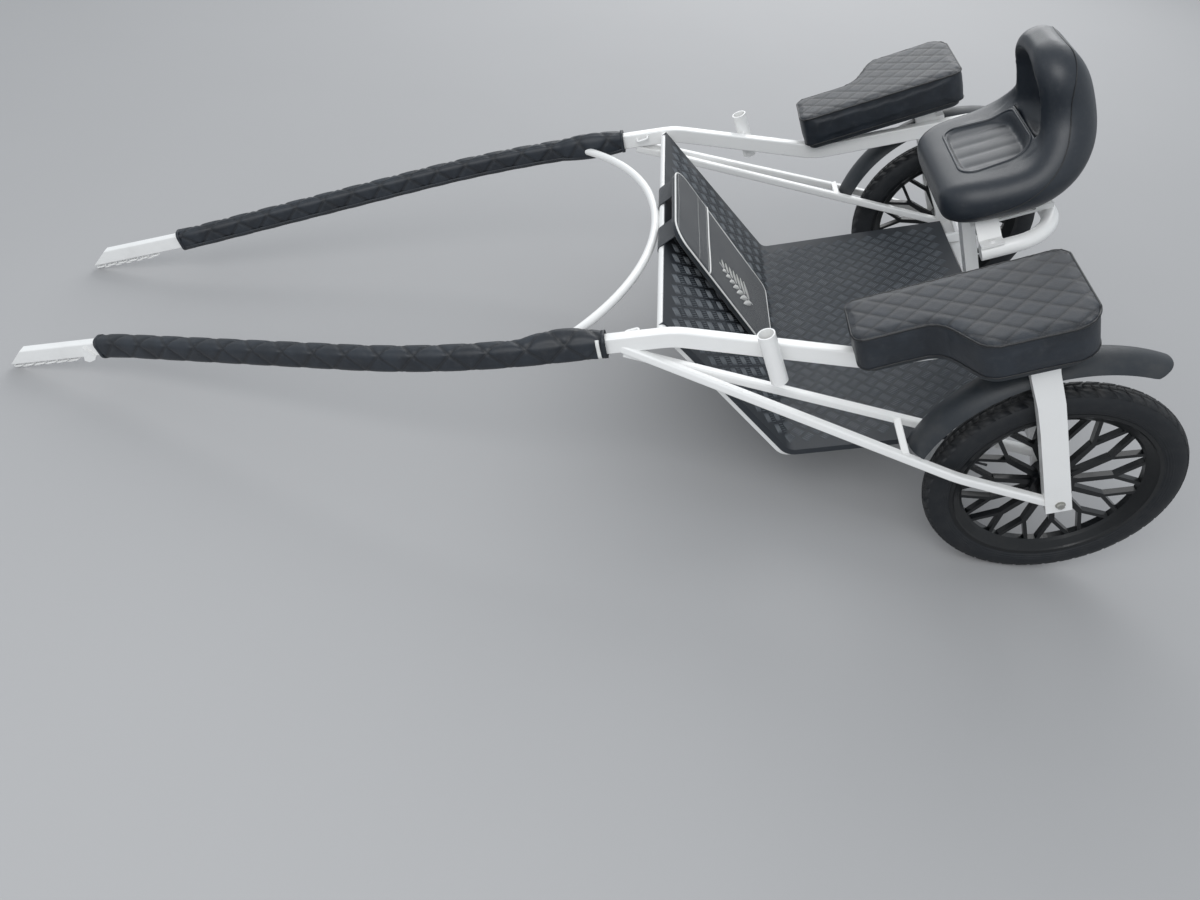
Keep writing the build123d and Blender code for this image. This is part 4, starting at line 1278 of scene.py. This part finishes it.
    def walled(self, obj, thickness):
        """Gives a sheet its thickness on the inner side."""
        wall = obj.modifiers.new("Wall", "SOLIDIFY")
        wall.thickness = thickness * MM
        wall.offset = -1
        baked(obj)
        smooth(obj)

    def sheet(self, name, rows):
        """A sheet through rows of points."""
        faces = grid_faces(len(rows) - 1, len(rows[0]) - 1)
        return mesh_object(name, parked([p for row in rows for p in row]), faces)

    def band(self, name, rings):
        """A plain band round the end of a sleeve."""
        band = self.sheet(name, rings)
        self.walled(band, thickness=2)
        dress(band, "vinyl", "cart", "quilted_vinyl")


class CART_OT_cushions(bpy.types.Operator):
    """Makes the two side cushions: blown-up covers, quilted tops and piped edges"""
    bl_idname = "cart.cushions"
    bl_label = "Side cushions"

    bottom, top = 437.0, 522.0
    cord_radius = {"top": 2.3, "bottom": 1.5}

    def outline(self, inset, step=6):
        """The cushion seen from above, drawn in by inset all round."""
        front, rear = 356 - inset, -84 + inset
        inner, neck, outer = 430 + inset, 577 - inset, 688 - inset
        points = [(front, inner, 0), (front, neck, 0), (190, neck, 0), (125, outer, 0), (rear, outer, 0),
                  (rear, inner, 0)]
        return rounded(points, [22, 26, 60, 50, 58, 26], step, True)

    def execute(self, context):
        look = context.scene.cart_padding
        rim = self.outline(4)
        count = len(rim)
        vertices = [(p.x, p.y, z) for z in (self.bottom, self.top) for p in rim]
        faces = [tuple(range(count)), tuple(range(count, 2 * count))]
        faces += [(i, (i + 1) % count, count + (i + 1) % count, count + i) for i in range(count)]
        pad = mesh_object("side_pad_left", parked(vertices), faces)
        remeshed(pad, 5)
        relaxed(pad, 3)
        stuffed(pad, pressure=3.0, cap=2.2)
        subdivided(pad)
        self.quilt(pad, look)
        smooth(pad)
        surface = surface_of(pad)
        edge = {}
        for level, z in (("top", self.top - 2), ("bottom", self.bottom + 2)):
            rim_line = parked([(p.x, p.y, z) for p in self.outline(0.5, 5)])
            edge[level] = laid_on(surface, rim_line, 0.8)
        for name, s in SIDES:
            cover = pad if s > 0 else mirrored(pad, "side_pad_right")
            dress(cover, "quilt_top", "cart", "quilted_vinyl", [f"side_cushion_{name}"])
            cords = [tube(f"piping_{level}", [Vector((p.x, s * p.y, p.z)) for p in points],
                          self.cord_radius[level], True) for level, points in edge.items()]
            piping = joined(f"cushion_piping_{name}", cords)
            dress(piping, "black_piping", "cart", "quilted_vinyl")
        return {"FINISHED"}

    def quilt(self, pad, look):
        """Presses the diamond seams into the top and lets the cells swell."""
        back = PARK.inverted()
        along, across = look.cushion_diamond
        up = PARK.to_3x3() @ Vector((0, 0, 1))
        normals = [vertex.normal.copy() for vertex in pad.data.vertices]
        for vertex, normal in zip(pad.data.vertices, normals):
            spot = back @ vertex.co / MM
            facing = normal.dot(up)
            if facing < 0.5 or spot.z < self.top - 25:
                continue
            share = min(1, (facing - 0.5) / 0.35)
            one, two = diamonds(spot.x, spot.y, along, across)
            puff = (min(1, one * 4) * min(1, two * 4)) ** 0.4
            vertex.co += up * (MM * look.cushion_depth * share * (puff - 0.75))


class CART_OT_seat(bpy.types.Operator):
    """Makes the moulded seat's soft skin with its welts"""
    bl_idname = "cart.seat"
    bl_label = "Seat"

    # The middle, half length and half width of the panel that one sits on
    panel = (-34.0, 72.0, 108.0)
    panel_floor, deck = 532.5, 541
    lobe_width, lobe_height = 48, 3.2
    back_foot, back_height = 600, 171
    back_drop, back_spread = 20, 0.07
    corner = 34

    def level(self, x):
        """Height of the seat's top round its panel, which rises into the back."""
        return self.deck + 27 * max(0.0, (-50 - x) / 66) ** 2.2

    def execute(self, context):
        skin = copy_of("seat", "moulded_seat")
        remeshed(skin, 4)
        relaxed(skin, 6)
        self.shape(skin)
        relaxed(skin, 3)
        smooth(skin)
        dress(skin, "seat", "cart", "smooth_vinyl", ["seat"])
        self.welts(surface_of(skin))
        return {"FINISHED"}

    def shape(self, skin):
        """Turns the panel's ribs to soft lobes, and rounds the back over a little lower and wider."""
        back = PARK.inverted()
        for vertex in skin.data.vertices:
            p = back @ vertex.co / MM
            level = self.level(p.x)
            on_deck = -120 < p.x < 42 and abs(p.y) < 122 and 522 < p.z < level + 4
            if on_deck:
                middle, long, wide = self.panel
                wide -= 0.12 * (38 - p.x)
                out = (abs((p.x - middle) / long) ** 5 + abs(p.y / wide) ** 5) ** 0.2
                inside = min(1.0, max(0.0, (1.04 - out) / 0.12))
                inside = inside * inside * (3 - 2 * inside)
                lobe = self.lobe_height * abs(math.cos(math.pi * p.y / self.lobe_width)) ** 0.6
                p.z = max(p.z, level) * (1 - inside) + (self.panel_floor + lobe) * inside
            if p.z > self.back_foot:
                share = (p.z - self.back_foot) / self.back_height
                p.z -= self.back_drop * share ** 1.5
                p.y *= 1 + self.back_spread * share
            vertex.co = PARK @ (p * MM)

    def welts(self, surface):
        """The raised welt round the panel, and the seam between the seat's skin and its shell."""
        middle, long, wide = self.panel
        front, rear = middle + long + 5, middle - long - 5
        corners = [(front, wide + 5, 0), (rear, wide - 13, 0), (rear, 13 - wide, 0), (front, -wide - 5, 0)]
        ring = rounded(corners, [self.corner] * 4, 5, True)
        ring = [Vector((p.x, p.y, self.level(p.x) + 2)) for p in ring]
        welt = tube("seat_panel_welt", laid_on(surface, parked(ring), -0.6), 3.4, True, 3)
        dress(welt, "seat", "cart", "smooth_vinyl")
        half = [(-206, 0, 748), (-203, 62, 738), (-196, 108, 706), (-180, 140, 650), (-165, 180, 594),
                (-140, 203, 545), (-95, 208, 505), (-40, 203, 478), (40, 190, 468), (85, 150, 466),
                (104, 60, 466), (106, 0, 466)]
        loop = half + [(x, -y, z) for x, y, z in reversed(half[1:-1])]
        seam = evenly(relaxed_line(loop, 3), 6, True)
        cord = tube("seat_shell_seam", laid_on(surface, parked(seam), 0.2), 1.3, True)
        dress(cord, "black_piping", "cart", "smooth_vinyl")


class CART_OT_plate(bpy.types.Operator):
    """Makes the raised bars of the tread plate, clear of the notch for the seat post"""
    bl_idname = "cart.plate"
    bl_label = "Tread plate"

    border, sunk = 12, 0.05
    notch = (52, 36)

    def bent(self, s, y, h):
        """A point s along the plate from its rear edge, y across it and h above it."""
        floor = DASH_BEND - PAN_REAR
        flat, run = floor.normalized(), (DASH_TOP - DASH_BEND).normalized()
        turn = flat.angle(run)
        reach = PLATE_BEND * math.tan(turn / 2)
        start = floor.length - reach
        if s <= start:
            base, ahead = PAN_REAR + flat * s, flat
        elif s <= start + PLATE_BEND * turn:
            angle = (s - start) / PLATE_BEND
            up = Vector((-flat.z, 0, flat.x))
            base = (PAN_REAR + flat * (start + PLATE_BEND * math.sin(angle))
                    + up * (PLATE_BEND * (1 - math.cos(angle))))
            ahead = flat * math.cos(angle) + up * math.sin(angle)
        else:
            base = DASH_BEND + run * (reach + s - start - PLATE_BEND * turn)
            ahead = run
        normal = Vector((-ahead.z, 0, ahead.x))
        return base + Vector((0, y, 0)) + normal * h

    def execute(self, context):
        look = context.scene.cart_plate
        floor, dash = DASH_BEND - PAN_REAR, DASH_TOP - DASH_BEND
        turn = floor.angle(dash)
        length = floor.length + dash.length + PLATE_BEND * (turn - 2 * math.tan(turn / 2)) - 2 * self.border
        bars = bare_mesh("tread_bars")
        tread_tree().grow(bars, "bars", Long=length * MM, Wide=PLATE_WIDTH * MM, Pitch=look.bar_pitch,
                          Height=look.bar_height)
        for vertex in bars.data.vertices:
            x, y, z = vertex.co / MM
            vertex.co = PARK @ (self.bent(x + length / 2 + self.border, y, HALF_PLATE - self.sunk + z) * MM)
        reworked(bars.data, self.cut_notch)
        place(bars, "cart", "tread_plate")
        return {"FINISHED"}

    def cut_notch(self, edit):
        """Takes away the bars round the seat post."""
        back = PARK.inverted()
        ahead, aside = (size * MM for size in self.notch)
        inside = [v for v in edit.verts if abs(v.co.y) < aside and (back @ v.co).x < ahead]
        bmesh.ops.delete(edit, geom=inside, context="VERTS")


class CART_OT_bag(bpy.types.Operator):
    """Makes the dash bag: a slack pouch hung off the dash, with its flap, piping and stitching"""
    bl_idname = "cart.bag"
    bl_label = "Dash bag"

    foot, top, half = 46.0, 500.0, 162.0
    thick, standoff = 18.0, 32.0
    foot_corner, top_corner = 26.0, 52.0
    flap = 355.0

    def on_dash(self, up, y, out):
        """A point up the dash from its bend, y across and out towards the driver."""
        run = (DASH_TOP - DASH_BEND).normalized()
        driver = Vector((-run.z, 0, run.x))
        return DASH_BEND + driver * (HALF_PLATE + out) + run * up + Vector((0, y, 0))

    def back(self, up):
        """How far the pouch's back stands off the dash."""
        return self.standoff * (up - self.foot) / (self.top - self.foot)

    def narrowing(self, up):
        """How much the rounded corners take off each side at a height."""
        radius, reach = ((self.top_corner, self.top - up) if up > (self.foot + self.top) / 2
                         else (self.foot_corner, up - self.foot))
        return radius - math.sqrt(max(0, radius ** 2 - max(0, radius - reach) ** 2))

    def front(self, up, y):
        """How far the pouch's slack front stands off the dash."""
        wide = self.half - self.narrowing(up)
        w = max(-1.0, min(1.0, y / wide))
        from_edge = min(up - self.foot, self.top - up, (1 - abs(w)) * wide) / 16
        swell = math.sqrt(max(0, min(1, from_edge) * (2 - min(1, from_edge))))
        t = (up - self.foot) / (self.top - self.foot)
        slack = 1.2 * math.sin(4.3 * t + 1.7 * w) * math.sin(2.6 * w + 5 * t) + 2.0 * (1 - w * w) * (1 - t)
        lap = 1.5 * min(1, max(0, up - self.flap) / 3)
        return self.back(up) + self.thick - 4 + (2.5 + slack + lap) * swell

    def execute(self, context):
        rows, columns = 64, 46
        vertices = []
        for side in (0, 1):
            for i in range(rows + 1):
                up = self.foot + (self.top - self.foot) * i / rows
                wide = self.half - self.narrowing(up)
                for k in range(columns + 1):
                    y = wide * (2 * k / columns - 1)
                    vertices.append(self.on_dash(up, y, self.front(up, y) if side else self.back(up) + 1))
        row = columns + 1
        sheet = row * (rows + 1)
        faces = grid_faces(rows, columns) + grid_faces(rows, columns, sheet)
        loop = (list(range(row)) + [i * row + columns for i in range(1, rows + 1)]
                + [rows * row + k for k in range(columns - 1, -1, -1)]
                + [i * row for i in range(rows - 1, 0, -1)])
        for a, b in zip(loop, loop[1:] + loop[:1]):
            faces.append((a, b, b + sheet, a + sheet))
        pouch = mesh_object("dash_pouch", parked(vertices), faces)
        subdivided(pouch)
        smooth(pouch)
        dress(pouch, "cloth", "cart", "bag_cloth", ["dash_bag"])
        self.trim(surface_of(pouch))
        return {"FINISHED"}

    def across(self, up, inset, step=5):
        """Points across the front at one height, from side to side."""
        wide = self.half - self.narrowing(up) - inset
        count = int(2 * wide / step)
        return [self.on_dash(up, wide * (2 * k / count - 1), self.front(up, 0) + 6) for k in range(count + 1)]

    def trim(self, surface):
        """White piping round the face and along the flap, with rows of stitches beside it."""
        low, high, half = self.foot + 1, self.top - 1, self.half - 1
        corners = [(low, -half, 0), (high, -half, 0), (high, half, 0), (low, half, 0)]
        radii = [self.foot_corner, self.top_corner, self.top_corner, self.foot_corner]
        edge = [self.on_dash(p.x, p.y, self.back(p.x) + self.thick - 3.4)
                for p in rounded(corners, radii, 4, True)]
        cords = [tube("edge_piping", parked(edge), 2.3, True),
                 tube("flap_piping", laid_on(surface, parked(self.across(self.flap, 2)), 1.2), 2.2)]
        piping = joined("bag_piping", cords)
        dress(piping, "white_piping", "cart", "bag_cloth")
        seams = []
        for k, up in enumerate((self.flap + 46, self.flap + 8, self.top - 10)):
            line = laid_on(surface, parked(self.across(up, 6)), 0.2)
            seams.append(stitches(f"bag_seam_{k}", line, spacing=4.5, thread=1.0))
        for k, points in enumerate(self.spray()):
            seams.append(tube(f"bag_spray_{k}", laid_on(surface, parked(points), 0.5), 0.9, resolution=1))
        thread = joined("bag_stitches", seams)
        dress(thread, "white_piping", "cart", "bag_cloth")

    def spray(self):
        """A plain spray of leaves low on the pouch, as threads: its stem, then each leaf in satin stitch."""
        foot, length, y, out = 146.0, 160.0, 44.0, 40
        yield [self.on_dash(foot + length * k / 40, y + 8 * math.sin(3 * k / 40), out) for k in range(41)]
        for pair in range(7):
            for shift, lean_deg in ((0, 52), (10, -70)):
                start = foot + 8 + 20 * pair + shift
                size = 66 - 6 * pair
                lean = math.radians(lean_deg)
                leaf = []
                for turn in range(size):
                    a = 4 + turn * (size - 6) / size
                    side = 1 if turn % 2 else -1
                    b = side * (2.4 + size * 0.08) * math.sin(math.pi * (a / size) ** 0.8)
                    leaf.append(self.on_dash(start + a * math.cos(lean) - b * math.sin(lean),
                                             y + a * math.sin(lean) + b * math.cos(lean), out))
                yield leaf


OPERATORS = [CART_OT_stage, CART_OT_frame, CART_OT_wheels, CART_OT_chains, CART_OT_sleeves, CART_OT_cushions,
             CART_OT_seat, CART_OT_plate, CART_OT_bag]


class CART_PT_panel(bpy.types.Panel):
    """Lists the cart's settings and the steps that dress it"""
    bl_label = "Exercise Cart"
    bl_idname = "CART_PT_panel"
    bl_space_type = "VIEW_3D"
    bl_region_type = "UI"
    bl_category = "Cart"

    def draw(self, context):
        for name, group in GROUPS.items():
            box = self.layout.box()
            for key in group.__annotations__:
                box.prop(getattr(context.scene, name), key)
        for operator in OPERATORS:
            self.layout.operator(operator.bl_idname)


CLASSES = [*GROUPS.values(), *OPERATORS, CART_PT_panel]


def register():
    for cls in CLASSES:
        bpy.utils.register_class(cls)
    for name, group in GROUPS.items():
        setattr(bpy.types.Scene, name, PointerProperty(type=group))


def unregister():
    for name in GROUPS:
        delattr(bpy.types.Scene, name)
    for cls in reversed(CLASSES):
        bpy.utils.unregister_class(cls)


def main():
    register()
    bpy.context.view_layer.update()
    for operator in OPERATORS:
        group, name = operator.bl_idname.split(".")
        getattr(getattr(bpy.ops, group), name)()


if __name__ == "__main__":
    main()
